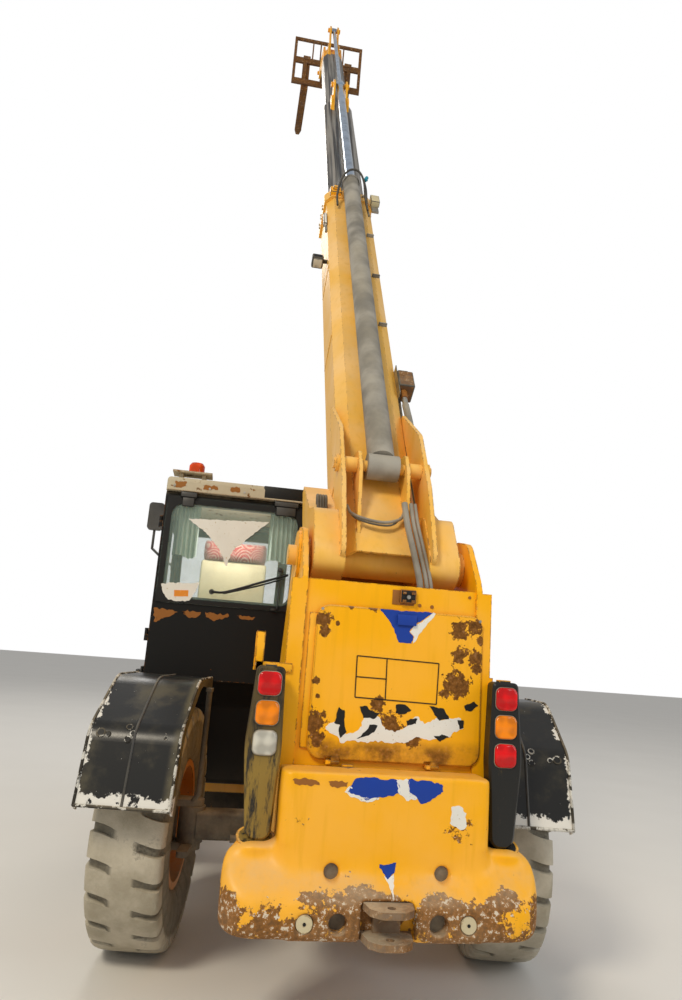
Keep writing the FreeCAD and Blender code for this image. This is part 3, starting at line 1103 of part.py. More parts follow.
def cab_door():
    """Door frame with a large upper window opening and a lower panel."""
    x0 = CAB_LEFT_X - 4
    frame = along_x(door_profile(DOOR_GAP), x0, x0 + DOOR_WALL)
    window = [(500, 1560, 50), (500, 2465, 50), (CAB_FRONT_Y - 460, 2465, 50), (CAB_FRONT_Y - 205, 1520, 160),
              (CAB_FRONT_Y - 195, 1330, 50),
              (980, 1330, 50), (850, 1560, 50)]
    frame = frame.cut(along_x(window, x0 - 10, x0 + DOOR_WALL + 10))
    handle = box(x0 - 22, x0 + 1, CAB_FRONT_Y - 330, CAB_FRONT_Y - 230, 1250, 1285)
    # upper eyes of the hinges
    parts = [frame, handle]
    for z in DOOR_HINGE_Z:
        eye = V(CAB_LEFT_X - DOOR_HINGE_OUT, DOOR_HINGE_Y, z + HINGE_LENGTH + RUN_FIT)
        parts += [bar(eye, eye + V(0, 0, HINGE_LENGTH), HINGE_EYE),
                  box(eye.x - HINGE_EYE, x0 + 1, DOOR_HINGE_Y, DOOR_HINGE_Y + 50, eye.z,
                      eye.z + HINGE_LENGTH)]
    door = joined(parts)
    for z in DOOR_HINGE_Z:
        eye = V(CAB_LEFT_X - DOOR_HINGE_OUT, DOOR_HINGE_Y, z)
        door = door.cut(bar(eye, eye + V(0, 0, 3 * HINGE_LENGTH), HINGE_PIN + RUN_FIT))
    return door


def door_glass():
    """Glass of the door, on the outside of its frame."""
    x0 = CAB_LEFT_X - 4
    pane = [(485, 1545, 50), (485, 2480, 50), (CAB_FRONT_Y - 450, 2480, 50), (CAB_FRONT_Y - 188, 1520, 160),
            (CAB_FRONT_Y - 180, 1315, 50),
            (972, 1315, 50), (840, 1545, 50)]
    return along_x(pane, x0 - GLASS - 0.3, x0 - 0.3)


def seat():
    """Operator's seat: suspension base, cushion and backrest."""
    x = (CAB_LEFT_X + CAB_RIGHT_X) / 2
    z = CAB_FLOOR_Z + CAB_WALL
    y = SEAT_REAR_Y
    base = box(x - 190, x + 190, y + 80, y + 450, z, z + 320)
    cushion = along_x([(y + 30, z + 315, 30), (y + 520, z + 315, 30), (y + 520, z + 430, 40),
                       (y + 30, z + 430, 30)],
                      x - 240, x + 240)
    back = along_x([(y + 10, z + 420, 20), (y + 170, z + 420, 20), (y + 80, z + 1130, 50),
                    (y - 60, z + 1130, 50)],
                   x - 235, x + 235)
    return joined([base, cushion, back])


def console():
    """Steering column with wheel and the dash under the windscreen."""
    x = (CAB_LEFT_X + CAB_RIGHT_X) / 2
    z = CAB_FLOOR_Z + CAB_WALL
    y = CAB_FRONT_Y - 290
    dash = along_x([(y, z, 0), (y, z + 420, 40), (y + 60, z + 560, 40), (y + 150, z + 560, 40),
                    (y + 150, z, 0)],
                   x - 300, x + 270)
    foot = V(x, y + 40, z + 480)
    head = V(x, y - 140, z + 790)
    column = bar(foot, head, 28)
    way = head - foot
    way.normalize()
    wheel = pipe(head - way * 13, head + way * 13, 200, 172)
    spoke = bar(head - V(186, 0, 0), head + V(186, 0, 0), 13)
    return joined([dash, column, wheel, spoke])


def beacon():
    """Amber flashing beacon on a bracket plate over the roof's rear edge."""
    z = CAB_ROOF_Z + ROOF_THICK
    x = CAB_LEFT_X + 175
    foot = V(x, 420, z + 52)
    base = Part.makeCylinder(52, 55, foot)
    top = Part.makeCone(52, 40, 18, foot + V(0, 0, 55))
    return joined([base, top])


def beacon_plate():
    """Bracket plate of the beacon on two feet."""
    z = CAB_ROOF_Z + ROOF_THICK
    x = CAB_LEFT_X + 155
    plate = box(x - 130, x + 130, 340, 500, z + 40, z + 51.7)
    feet = [box(x - 90, x - 60, 380, 460, z + 0.3, z + 41), box(x + 60, x + 90, 380, 460, z + 0.3, z + 41)]
    return joined([plate] + feet)


def mirror():
    """Rear-view mirror on an arm at the cab's front left post."""
    x = CAB_LEFT_X - 210
    y = CAB_FRONT_Y - 300
    arm = [V(CAB_LEFT_X - 12, y, 2245), V(CAB_LEFT_X - 60, y + 70, 2270), V(x, y + 265, 2400),
           V(x, y + 265, 2560)]
    parts = [bar(a, b, 11) for a, b in zip(arm, arm[1:])]
    parts += [Part.makeSphere(11, point) for point in arm[1:-1]]
    parts.append(box(CAB_LEFT_X - 12, CAB_LEFT_X, y - 23, y + 22, 2200, 2290))
    head = along_y(rounded_box(x - 65, x + 65, 2560, 2800, 30), y + 240, y + 290)
    return joined(parts + [head])


# Engine, tank, stabilisers

def engine_housing():
    """Lower housing beside the right rail with the inner side wall, open at the top under the hood."""
    outer = box(ENGINE_INNER_X, ENGINE_OUTER_X, ENGINE_REAR_Y, ENGINE_FRONT_Y, ENGINE_LOW_Z, ENGINE_SPLIT_Z)
    w = HOOD_WALL
    inner = box(ENGINE_INNER_X + w, ENGINE_OUTER_X - w, ENGINE_REAR_Y + w, ENGINE_FRONT_Y - w,
                ENGINE_LOW_Z + w, ENGINE_SPLIT_Z + 10)
    side = box(ENGINE_INNER_X, ENGINE_INNER_X + w, ENGINE_REAR_Y + w + HOOD_GAP,
               ENGINE_FRONT_Y - w - HOOD_GAP,
               ENGINE_SPLIT_Z - 5, HOOD_HINGE_Z - HINGE_EYE - HOOD_GAP)
    return joined([outer.cut(inner), side])


def engine_hood():
    """Hinged hood: top, sloping outer side with grille slots and two end walls, open towards the boom."""
    z0 = ENGINE_SPLIT_Z + 4
    w = HOOD_WALL
    outside = [(ENGINE_INNER_X, z0, 0), (ENGINE_INNER_X, ENGINE_TOP_Z, 40),
               (ENGINE_OUTER_X - 230, ENGINE_TOP_Z, 120),
               (ENGINE_OUTER_X, ENGINE_TOP_Z - 190, 120), (ENGINE_OUTER_X, z0, 0)]
    inside = [(ENGINE_INNER_X - 5, z0 - 5, 0), (ENGINE_INNER_X - 5, ENGINE_TOP_Z - w, 0),
              (ENGINE_OUTER_X - 238, ENGINE_TOP_Z - w, 100), (ENGINE_OUTER_X - w, ENGINE_TOP_Z - 198, 100),
              (ENGINE_OUTER_X - w, z0 - 5, 0)]
    hood = along_y(outside, ENGINE_REAR_Y, ENGINE_FRONT_Y).cut(
        along_y(inside, ENGINE_REAR_Y + w, ENGINE_FRONT_Y - w))
    parts = [hood]
    for y in HOOD_HINGE_Y:
        near, far = y + 20 + RUN_FIT, y + 20 + HINGE_LENGTH
        parts.append(bar(V(HOOD_HINGE_X, near, HOOD_HINGE_Z), V(HOOD_HINGE_X, far, HOOD_HINGE_Z), HINGE_EYE))
        parts.append(box(HOOD_HINGE_X, ENGINE_INNER_X + HOOD_HINGE_LEAF, near, far,
                         HOOD_HINGE_Z - HINGE_EYE, HOOD_HINGE_Z))
    hood = joined(parts)
    hood = hood.cut(bar(V(HOOD_HINGE_X, ENGINE_REAR_Y, HOOD_HINGE_Z),
                        V(HOOD_HINGE_X, ENGINE_FRONT_Y, HOOD_HINGE_Z),
                        HINGE_PIN + RUN_FIT))
    for row in range(5):
        z = z0 + 40 + row * 30
        hood = hood.cut(box(ENGINE_OUTER_X - w - 5, ENGINE_OUTER_X + 5, ENGINE_REAR_Y + 120,
                            ENGINE_FRONT_Y - 450,
                            z, z + 14))
    return hood


def engine_block():
    """The engine as one plain block."""
    return box(ENGINE_INNER_X + 90, ENGINE_OUTER_X - 150, ENGINE_REAR_Y + 130, ENGINE_FRONT_Y - 200,
               ENGINE_LOW_Z + HOOD_WALL + 0.3, ENGINE_SPLIT_Z + 180)


def side_tank():
    """Fuel tank under the cab with two steps cut in its outer side."""
    x0 = CAB_LEFT_X + 30
    tank = along_x([(1090, TANK_LOW_Z, 60), (1690, TANK_LOW_Z, 60), (1690, CAB_FLOOR_Z - 10, 0),
                    (1090, CAB_FLOOR_Z - 10, 0)], x0, -RAIL_OUTER_X - 60)
    step = box(x0 - 1, x0 + 130, 1200, 1580, TANK_LOW_Z + 60, TANK_LOW_Z + 200)
    bracket = box(-RAIL_OUTER_X - 61, -RAIL_OUTER_X - 0.3, 1250, 1550, TANK_LOW_Z + 80, TANK_LOW_Z + 180)
    return joined([tank.cut(step), bracket])


def stabiliser_leg(side):
    """Square sliding leg with a round foot plate on its neck."""
    x = side * LEG_X
    leg = box(x - LEG_HALF, x + LEG_HALF, LEG_Y - LEG_HALF, LEG_Y + LEG_HALF, LEG_FOOT_Z + 60, 980)
    neck = Part.makeCone(90, 55, 45, V(x, LEG_Y, LEG_FOOT_Z + 20))
    foot = Part.makeCone(FOOT_RADIUS, FOOT_RADIUS - 50, 30, V(x, LEG_Y, LEG_FOOT_Z))
    return joined([leg, neck, foot])


def build_all():
    """Every node by name."""
    nodes = {
        "chassis_frame": chassis(),
        "boom_tower": tower(),
        "counterweight": counterweight(),
        "tow_hitch": tow_hitch(),
        "access_door": access_door(),
        "lamp_housings": Part.makeCompound([lamp_case(-1), lamp_case(1)]),
        "tail_lamps": Part.makeCompound([lamp_lens(side, row) for side in (-1, 1) for row in range(3)]),
        "rear_axle": axle(0),
        "front_axle": axle(WHEELBASE),
        "cab_frame": cab_frame(),
        "cab_roof": cab_roof(),
        "cab_glass": cab_glass(),
        "cab_door": cab_door(),
        "door_glass": door_glass(),
        "seat": seat(),
        "console": console(),
        "beacon": beacon(),
        "beacon_plate": beacon_plate(),
        "mirror": mirror(),
        "engine_housing": engine_housing(),
        "engine_hood": engine_hood(),
        "engine_block": engine_block(),
        "side_tank": side_tank(),
        "stabiliser_leg_left": stabiliser_leg(-1),
        "stabiliser_leg_right": stabiliser_leg(1),
        "boom_outer": boom_outer(),
        "boom_mid": boom_mid(),
        "boom_inner": boom_inner(),
        "ram_barrel": ram_barrel(),
        "ram_rod_1": ram_rod_1(),
        "ram_rod_2": ram_rod_2(),
        "lift_barrel": lift_barrel(),
        "lift_rod": lift_rod(),
        "tilt_barrel": tilt_barrel(),
        "tilt_rod": tilt_rod(),
        "fork_carriage": carriage(),
        "forks": forks(),
    }
    shapes = {"tyre": tyre(), "rim": rim(), "knuckle": joined([knuckle(), fender_stay()])}
    corners = [("rear", 0, -STEER_REST_DEG), ("front", WHEELBASE, STEER_REST_DEG)]
    for end, axle_y, steer in corners:
        shapes["fender"] = fender(end == "rear")
        for name, side in (("left", -1), ("right", 1)):
            for piece, shape in shapes.items():
                # the tread slants the same way on both sides of the machine
                right_hand = mirrored(shape) if piece == "tyre" and side < 0 else shape
                nodes[f"{end}_{name}_{piece}"] = place_wheel_part(right_hand, side, axle_y, steer)
    return nodes


def origin_shift(nodes):
    """Vector from the building origin to the middle of the bounding box's base, turned round."""
    whole = FreeCAD.BoundBox()
    for shape in nodes.values():
        whole.add(shape.optimalBoundingBox(False, False))
    return V(-whole.Center.x, -whole.Center.y, -whole.ZMin)


NODES = build_all()
SHIFT = origin_shift(NODES)

os.makedirs("parts", exist_ok=True)
for node_name, node_shape in NODES.items():
    moved = node_shape.copy()
    moved.translate(SHIFT)
    moved.exportStep(f"parts/{node_name}.step")
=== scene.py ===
"""Telehandler: finishes, tyres, mudguards, lamps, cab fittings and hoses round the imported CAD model."""
import json
import math
import random

import bmesh
import bpy
from bpy.props import FloatProperty, FloatVectorProperty, IntProperty, PointerProperty
from mathutils import Matrix, Vector, noise
from mathutils.bvhtree import BVHTree


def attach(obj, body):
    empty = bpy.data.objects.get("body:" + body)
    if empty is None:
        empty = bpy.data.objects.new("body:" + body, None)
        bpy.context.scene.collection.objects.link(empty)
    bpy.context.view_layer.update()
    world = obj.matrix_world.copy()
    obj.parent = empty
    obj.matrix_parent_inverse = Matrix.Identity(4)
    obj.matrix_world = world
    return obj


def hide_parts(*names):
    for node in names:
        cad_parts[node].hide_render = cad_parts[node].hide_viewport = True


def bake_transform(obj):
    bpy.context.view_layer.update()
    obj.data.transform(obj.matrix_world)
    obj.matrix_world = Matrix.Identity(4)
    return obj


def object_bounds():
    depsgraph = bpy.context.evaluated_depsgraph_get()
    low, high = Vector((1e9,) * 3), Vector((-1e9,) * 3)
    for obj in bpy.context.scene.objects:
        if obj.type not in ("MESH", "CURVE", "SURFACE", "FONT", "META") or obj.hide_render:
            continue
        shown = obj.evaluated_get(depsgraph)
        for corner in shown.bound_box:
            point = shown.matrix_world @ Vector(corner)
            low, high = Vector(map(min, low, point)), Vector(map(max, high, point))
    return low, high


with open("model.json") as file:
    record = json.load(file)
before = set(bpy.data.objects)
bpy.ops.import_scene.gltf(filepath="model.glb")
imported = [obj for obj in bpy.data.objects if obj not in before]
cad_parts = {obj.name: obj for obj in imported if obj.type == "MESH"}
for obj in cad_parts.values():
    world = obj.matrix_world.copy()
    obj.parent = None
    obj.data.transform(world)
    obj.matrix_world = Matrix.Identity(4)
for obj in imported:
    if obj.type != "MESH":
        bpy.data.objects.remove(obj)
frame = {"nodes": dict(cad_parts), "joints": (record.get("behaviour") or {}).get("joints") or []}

bl_info = {
    "name": "Telehandler dressing",
    "version": (1, 0, 0),
    "blender": (4, 5, 0),
    "location": "View3D > Sidebar > Telehandler",
    "description": "Finishes and fittings of a four-wheel steered telescopic handler",
    "category": "Object",
}

CAD_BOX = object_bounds()
AXLE_HEIGHT = 0.635
JOINTS = {joint["name"]: joint for joint in frame["joints"]}
NODES = frame["nodes"]


def rear_axle_ground():
    """The point on the ground under the middle of the rear axle, from which places on the machine are measured."""
    left = Vector(JOINTS["rear_left_steer"]["pos_m"])
    right = Vector(JOINTS["rear_right_steer"]["pos_m"])
    middle = (left + right) / 2
    return Vector((middle.x, middle.y, middle.z - AXLE_HEIGHT))


GROUND = rear_axle_ground()
BOOM_AXIS = Vector(JOINTS["boom_extend_1"]["axis"]).normalized()
BOOM_UP = Vector((1, 0, 0)).cross(BOOM_AXIS).normalized()
BOOM_FOOT = Vector(JOINTS["boom_lift"]["pos_m"])


def at(x, y, z):
    """A place on the machine: x to the right, y ahead of the rear axle, z above the ground."""
    return GROUND + Vector((x, y, z))


def on_boom(x, s, n):
    """A place on the boom: x to the right of its middle, s along it from the foot pin, n square to it."""
    return BOOM_FOOT + Vector((x, 0, 0)) + BOOM_AXIS * s + BOOM_UP * n


# Sizes and colours that a user may change

class FinishSettings(bpy.types.PropertyGroup):
    """Colours of the paint and of the dirt on it."""
    body_paint: FloatVectorProperty(
        name="Body paint", description="Yellow of the chassis, tower and counterweight", subtype="COLOR", size=3,
        default=(0.97, 0.455, 0.001), min=0, max=1)
    boom_paint: FloatVectorProperty(
        name="Boom paint", description="Sun-bleached yellow of the boom", subtype="COLOR", size=3,
        default=(0.90, 0.50, 0.075), min=0, max=1)
    dust: FloatVectorProperty(
        name="Dust", description="Dry pale dust", subtype="COLOR", size=3, default=(0.55, 0.47, 0.34), min=0, max=1)
    rust: FloatVectorProperty(
        name="Rust", description="Rust where the paint is gone", subtype="COLOR", size=3,
        default=(0.19, 0.075, 0.012), min=0, max=1)


class TyreSettings(bpy.types.PropertyGroup):
    """Tread of the four tyres."""
    lugs: IntProperty(name="Lugs", description="Lugs on each half of the tread", default=24, min=8, max=40)
    groove: FloatProperty(name="Groove depth", description="Depth of the worn grooves", unit="LENGTH",
                          default=0.022, min=0.005, max=0.05)


class CameraSettings(bpy.types.PropertyGroup):
    """Where the picture is taken from."""
    place: FloatVectorProperty(
        name="Place", description="Camera, from the ground under the rear axle", subtype="XYZ", unit="LENGTH", size=3,
        default=(-0.722, -4.383, 1.613))
    yaw: FloatProperty(name="Yaw", description="Turn to the right", subtype="ANGLE", default=math.radians(8.55))
    pitch: FloatProperty(name="Pitch", description="Tilt up", subtype="ANGLE", default=math.radians(12.34))
    roll: FloatProperty(name="Roll", description="Turn about the view", subtype="ANGLE", default=math.radians(4.26))
    lens: FloatProperty(name="Lens", description="Focal length in mm for a 36 mm sensor", default=25.62)


# Small helpers for node trees

def put(tree, kind, inputs=None, **settings):
    """Adds a node, sets its properties, and links or fills its inputs."""
    node = tree.nodes.new(kind)
    for name, value in settings.items():
        setattr(node, name, value)
    for name, value in (inputs or {}).items():
        if isinstance(value, bpy.types.NodeSocket):
            tree.links.new(value, node.inputs[name])
        else:
            node.inputs[name].default_value = value
    return node


def maths(tree, operation, a, b=0.0, clamp=False):
    """One Math node's result."""
    return put(tree, "ShaderNodeMath", {0: a, 1: b}, operation=operation, use_clamp=clamp).outputs[0]


def mixed(tree, factor, a, b):
    """A mix of two colours."""
    node = put(tree, "ShaderNodeMix", data_type="RGBA")
    for socket, value in ((0, factor), (6, a), (7, b)):
        if isinstance(value, bpy.types.NodeSocket):
            tree.links.new(value, node.inputs[socket])
        else:
            node.inputs[socket].default_value = value
    return node.outputs[2]


def fitted(tree, value, low, high, smooth=True):
    """The value's place between low and high, from 0 to 1."""
    kind = "SMOOTHSTEP" if smooth else "LINEAR"
    return put(tree, "ShaderNodeMapRange", {"Value": value, "From Min": low, "From Max": high},
               interpolation_type=kind).outputs[0]


def shade_group(name, inputs, outputs):
    """A new shader node group with named sockets. Returns the group, its input node and its output node."""
    group = bpy.data.node_groups.new(name, "ShaderNodeTree")
    kinds = {"color": "NodeSocketColor", "value": "NodeSocketFloat", "vector": "NodeSocketVector"}
    for socket, kind, default in inputs:
        made = group.interface.new_socket(socket, in_out="INPUT", socket_type=kinds[kind])
        if default is not None:
            made.default_value = default
    for socket, kind in outputs:
        group.interface.new_socket(socket, in_out="OUTPUT", socket_type=kinds[kind])
    return group, group.nodes.new("NodeGroupInput").outputs, group.nodes.new("NodeGroupOutput").inputs


def grain_group():
    """Blotches from noise: 1 inside them, 0 outside, with a ragged edge."""
    group, given, result = shade_group("Blotches", [
        ("Vector", "vector", None), ("Scale", "value", 8.0), ("Amount", "value", 0.3), ("Edge", "value", 0.03)],
        [("Mask", "value")])
    large = put(group, "ShaderNodeTexNoise", {"Vector": given["Vector"], "Scale": given["Scale"], "Detail": 9.0,
                                              "Roughness": 0.62}).outputs[0]
    level = maths(group, "SUBTRACT", 0.74, maths(group, "MULTIPLY", given["Amount"], 0.5))
    top = maths(group, "ADD", level, given["Edge"])
    group.links.new(fitted(group, large, level, top), result["Mask"])
    return group


def edge_group():
    """Worn outer edges: 1 where the surface bends within a radius, broken up by noise."""
    group, given, result = shade_group("Worn edges", [
        ("Vector", "vector", None), ("Breakup", "value", 25.0), ("Amount", "value", 0.5)], [("Mask", "value")])
    bevel = put(group, "ShaderNodeBevel", {"Radius": 0.012}, samples=4).outputs[0]
    normal = put(group, "ShaderNodeNewGeometry").outputs["True Normal"]
    flat = put(group, "ShaderNodeVectorMath", {0: bevel, 1: normal}, operation="DOT_PRODUCT").outputs["Value"]
    bend = maths(group, "SUBTRACT", 1.0, flat)
    breakup = put(group, "ShaderNodeTexNoise", {"Vector": given["Vector"], "Scale": given["Breakup"], "Detail": 8.0,
                                                "Roughness": 0.7}).outputs[0]
    level = maths(group, "SUBTRACT", 1.0, given["Amount"])
    bent = fitted(group, bend, 0.02, 0.14)
    mask = maths(group, "MULTIPLY", bent, fitted(group, breakup, maths(group, "MULTIPLY", level, 0.66),
                                                 maths(group, "ADD", maths(group, "MULTIPLY", level, 0.66), 0.05)))
    group.links.new(mask, result["Mask"])
    return group


def dust_group():
    """Dust that lies on upward faces and low on the machine."""
    group, given, result = shade_group("Dust", [
        ("Vector", "vector", None), ("Amount", "value", 0.4), ("Scale", "value", 3.0), ("Top", "value", 0.6),
        ("Height", "value", 1.2)], [("Mask", "value")])
    normal = put(group, "ShaderNodeNewGeometry").outputs["Normal"]
    up = put(group, "ShaderNodeSeparateXYZ", {0: normal}).outputs["Z"]
    height = put(group, "ShaderNodeSeparateXYZ", {0: given["Vector"]}).outputs["Z"]
    cloud = put(group, "ShaderNodeTexNoise", {"Vector": given["Vector"], "Scale": given["Scale"], "Detail": 8.0,
                                              "Roughness": 0.6}).outputs[0]
    speck = put(group, "ShaderNodeTexNoise", {"Vector": given["Vector"], "Scale": 60.0, "Detail": 4.0}).outputs[0]
    lying = maths(group, "MULTIPLY", fitted(group, up, 0.1, 0.9), given["Top"])
    low = maths(group, "SUBTRACT", 1.0, fitted(group, height, 0.1, given["Height"]))
    film = maths(group, "ADD", lying, maths(group, "MULTIPLY", low, 0.5))
    film = maths(group, "ADD", film, given["Amount"])
    film = maths(group, "MULTIPLY", film, fitted(group, cloud, 0.25, 0.75))
    film = maths(group, "MULTIPLY", film, maths(group, "ADD", 0.7, maths(group, "MULTIPLY", speck, 0.6)), clamp=True)
    group.links.new(film, result["Mask"])
    return group


def worn_paint_group():
    """Paint with faded clouds, chips down to primer and rust, rust stains, and dust on top."""
    group, given, result = shade_group("Worn paint", [
        ("Vector", "vector", None), ("Paint", "color", (0.8, 0.4, 0.02, 1)), ("Primer", "color", (0.6, 0.55, 0.45, 1)),
        ("Rust", "color", (0.2, 0.065, 0.015, 1)), ("Dust", "color", (0.55, 0.47, 0.34, 1)),
        ("Chips", "value", 0.1), ("Edge wear", "value", 0.4), ("Extra rust", "value", 0.0), ("Dust amount", "value", 0.1),
        ("Fade", "value", 0.3), ("Gloss", "value", 0.38), ("Primer from", "value", 0.58),
        ("Primer share", "value", 0.45)],
        [("Color", "color"), ("Roughness", "value"), ("Height", "value")])
    vector = given["Vector"]
    groups = bpy.data.node_groups
    cloud = put(group, "ShaderNodeTexNoise", {"Vector": vector, "Scale": 2.2, "Detail": 6.0}).outputs[0]
    streak_at = put(group, "ShaderNodeMapping", {"Vector": vector, "Scale": (9.0, 9.0, 0.8)}).outputs[0]
    streak = put(group, "ShaderNodeTexNoise", {"Vector": streak_at, "Scale": 3.0, "Detail": 6.0}).outputs[0]
    faded = put(group, "ShaderNodeHueSaturation", {"Saturation": 0.72, "Value": 1.06, "Color": given["Paint"]}).outputs[0]
    deep = put(group, "ShaderNodeHueSaturation", {"Saturation": 1.05, "Value": 0.82, "Color": given["Paint"]}).outputs[0]
    paint = mixed(group, maths(group, "MULTIPLY", fitted(group, cloud, 0.4, 0.7), given["Fade"]), given["Paint"], faded)
    paint = mixed(group, maths(group, "MULTIPLY", fitted(group, streak, 0.5, 0.75), 0.35), paint, deep)
    chips = put(group, "ShaderNodeGroup", {}, node_tree=groups["Blotches"])
    for name, value in (("Vector", vector), ("Scale", None), ("Amount", given["Chips"])):
        if value is not None:
            group.links.new(value, chips.inputs[name])
    chips.inputs["Scale"].default_value = 14.0
    chips.inputs["Edge"].default_value = 0.012
    edges = put(group, "ShaderNodeGroup", {}, node_tree=groups["Worn edges"])
    group.links.new(vector, edges.inputs["Vector"])
    group.links.new(given["Edge wear"], edges.inputs["Amount"])
    bare = maths(group, "MAXIMUM", chips.outputs[0], edges.outputs[0])
    bare = maths(group, "MAXIMUM", bare, given["Extra rust"], clamp=True)
    inner = put(group, "ShaderNodeTexNoise", {"Vector": vector, "Scale": 45.0, "Detail": 8.0, "Roughness": 0.7}).outputs[0]
    deep_rust = put(group, "ShaderNodeHueSaturation", {"Value": 0.55, "Color": given["Rust"]}).outputs[0]
    light_rust = put(group, "ShaderNodeHueSaturation", {"Value": 1.35, "Color": given["Rust"]}).outputs[0]
    rust = mixed(group, fitted(group, inner, 0.35, 0.65), deep_rust, light_rust)
    primer = fitted(group, inner, given["Primer from"], maths(group, "ADD", given["Primer from"], 0.03))
    under = mixed(group, maths(group, "MULTIPLY", primer, given["Primer share"]), rust, given["Primer"])
    colour = mixed(group, bare, paint, under)
    dust = put(group, "ShaderNodeGroup", {}, node_tree=groups["Dust"])
    group.links.new(vector, dust.inputs["Vector"])
    group.links.new(given["Dust amount"], dust.inputs["Amount"])
    dusty = maths(group, "MULTIPLY", dust.outputs[0], 0.75)
    colour = mixed(group, dusty, colour, given["Dust"])
    fine = put(group, "ShaderNodeTexNoise", {"Vector": vector, "Scale": 160.0, "Detail": 3.0}).outputs[0]
    rough = maths(group, "ADD", given["Gloss"], maths(group, "MULTIPLY", bare, 0.45))
    rough = maths(group, "ADD", rough, maths(group, "MULTIPLY", dusty, 0.4))
    rough = maths(group, "ADD", rough, maths(group, "MULTIPLY", maths(group, "SUBTRACT", fine, 0.5), 0.15), clamp=True)
    height = maths(group, "MULTIPLY", maths(group, "MULTIPLY", inner, 0.45), bare)
    height = maths(group, "SUBTRACT", height, maths(group, "MULTIPLY", bare, 0.5))
    height = maths(group, "ADD", height, maths(group, "MULTIPLY", fine, 0.06))
    group.links.new(colour, result["Color"])
    group.links.new(rough, result["Roughness"])
    group.links.new(height, result["Height"])
    return group


def new_material(name, **sockets):
    """A material with one Principled shader. Returns the material, its tree, the shader and Object coordinates."""
    material = bpy.data.materials.new(name)
    material.use_nodes = True
    tree = material.node_tree
    shader = tree.nodes["Principled BSDF"]
    for socket, value in sockets.items():
        shader.inputs[socket.replace("_", " ")].default_value = value
    where = put(tree, "ShaderNodeTexCoord").outputs["Object"]
    return material, tree, shader, where


def bump(tree, shader, height, distance):
    """Feeds a height to the shader's normal."""
    node = put(tree, "ShaderNodeBump", {"Height": height, "Strength": 1.0, "Distance": distance})
    tree.links.new(node.outputs[0], shader.inputs["Normal"])


def colour4(colour):
    """A colour with full alpha."""
    return (*colour, 1.0)


def painted(name, paint, **values):
    """Worn painted metal or plastic."""
    finish = bpy.context.scene.telehandler_finish
    material, tree, shader, where = new_material(name, Specular_IOR_Level=0.22)
    wear = put(tree, "ShaderNodeGroup", {}, node_tree=bpy.data.node_groups["Worn paint"])
    tree.links.new(where, wear.inputs["Vector"])
    wear.inputs["Paint"].default_value = colour4(paint)
    wear.inputs["Rust"].default_value = colour4(finish.rust)
    wear.inputs["Dust"].default_value = colour4(finish.dust)
    for socket, value in values.items():
        wear.inputs[socket.replace("_", " ")].default_value = value
    tree.links.new(wear.outputs["Color"], shader.inputs["Base Color"])
    tree.links.new(wear.outputs["Roughness"], shader.inputs["Roughness"])
    bump(tree, shader, wear.outputs["Height"], 0.0012)
    return material


def extra_rust(material):
    """A painted material's tree, Object coordinates, and the socket for more rust."""
    tree = material.node_tree
    where = next(node for node in tree.nodes if node.type == "TEX_COORD").outputs["Object"]
    wear = next(node for node in tree.nodes if node.type == "GROUP")
    return tree, where, wear.inputs["Extra rust"]


def rust_spots(material, spots, clear, full):
    """Adds rust spots (centre, radius) with ragged edges, and a band that thickens from one height to a lower one."""
    tree, where, socket = extra_rust(material)
    ragged = put(tree, "ShaderNodeTexNoise", {"Vector": where, "Scale": 30.0, "Detail": 7.0, "Roughness": 0.68}).outputs[0]
    shake = maths(tree, "MULTIPLY", maths(tree, "SUBTRACT", ragged, 0.5), 3.4)
    height = put(tree, "ShaderNodeSeparateXYZ", {0: where}).outputs["Z"]
    wide = put(tree, "ShaderNodeTexNoise", {"Vector": where, "Scale": 7.0, "Detail": 9.0, "Roughness": 0.6}).outputs[0]
    cover = maths(tree, "ADD", 0.30, maths(tree, "MULTIPLY", fitted(tree, wide, 0.36, 0.60), 0.62))
    total = maths(tree, "MULTIPLY", fitted(tree, height, clear, full), cover)
    for centre, radius in spots:
        gap = put(tree, "ShaderNodeVectorMath", {0: where, 1: centre}, operation="DISTANCE").outputs["Value"]
        near = maths(tree, "SUBTRACT", 1.0, maths(tree, "DIVIDE", gap, radius))
        total = maths(tree, "MAXIMUM", total, fitted(tree, maths(tree, "ADD", near, shake), 0.0, 0.12))
    tree.links.new(total, socket)
    return material


def chipped_low(material, clear, full, most=0.74):
    """Adds chips that grow denser from one height down to a lower one."""
    tree, where, socket = extra_rust(material)
    height = put(tree, "ShaderNodeSeparateXYZ", {0: where}).outputs["Z"]
    level = maths(tree, "MULTIPLY", fitted(tree, height, clear, full), most)
    wide = put(tree, "ShaderNodeTexNoise", {"Vector": where, "Scale": 6.0, "Detail": 12.0, "Roughness": 0.66}).outputs[0]
    fine = put(tree, "ShaderNodeTexNoise", {"Vector": where, "Scale": 42.0, "Detail": 8.0, "Roughness": 0.7}).outputs[0]
    total = maths(tree, "ADD", level, maths(tree, "MULTIPLY", maths(tree, "SUBTRACT", wide, 0.5), 3.2))
    total = maths(tree, "ADD", total, maths(tree, "MULTIPLY", maths(tree, "SUBTRACT", fine, 0.5), 0.9))
    tree.links.new(fitted(tree, total, 0.44, 0.50), socket)
    return material


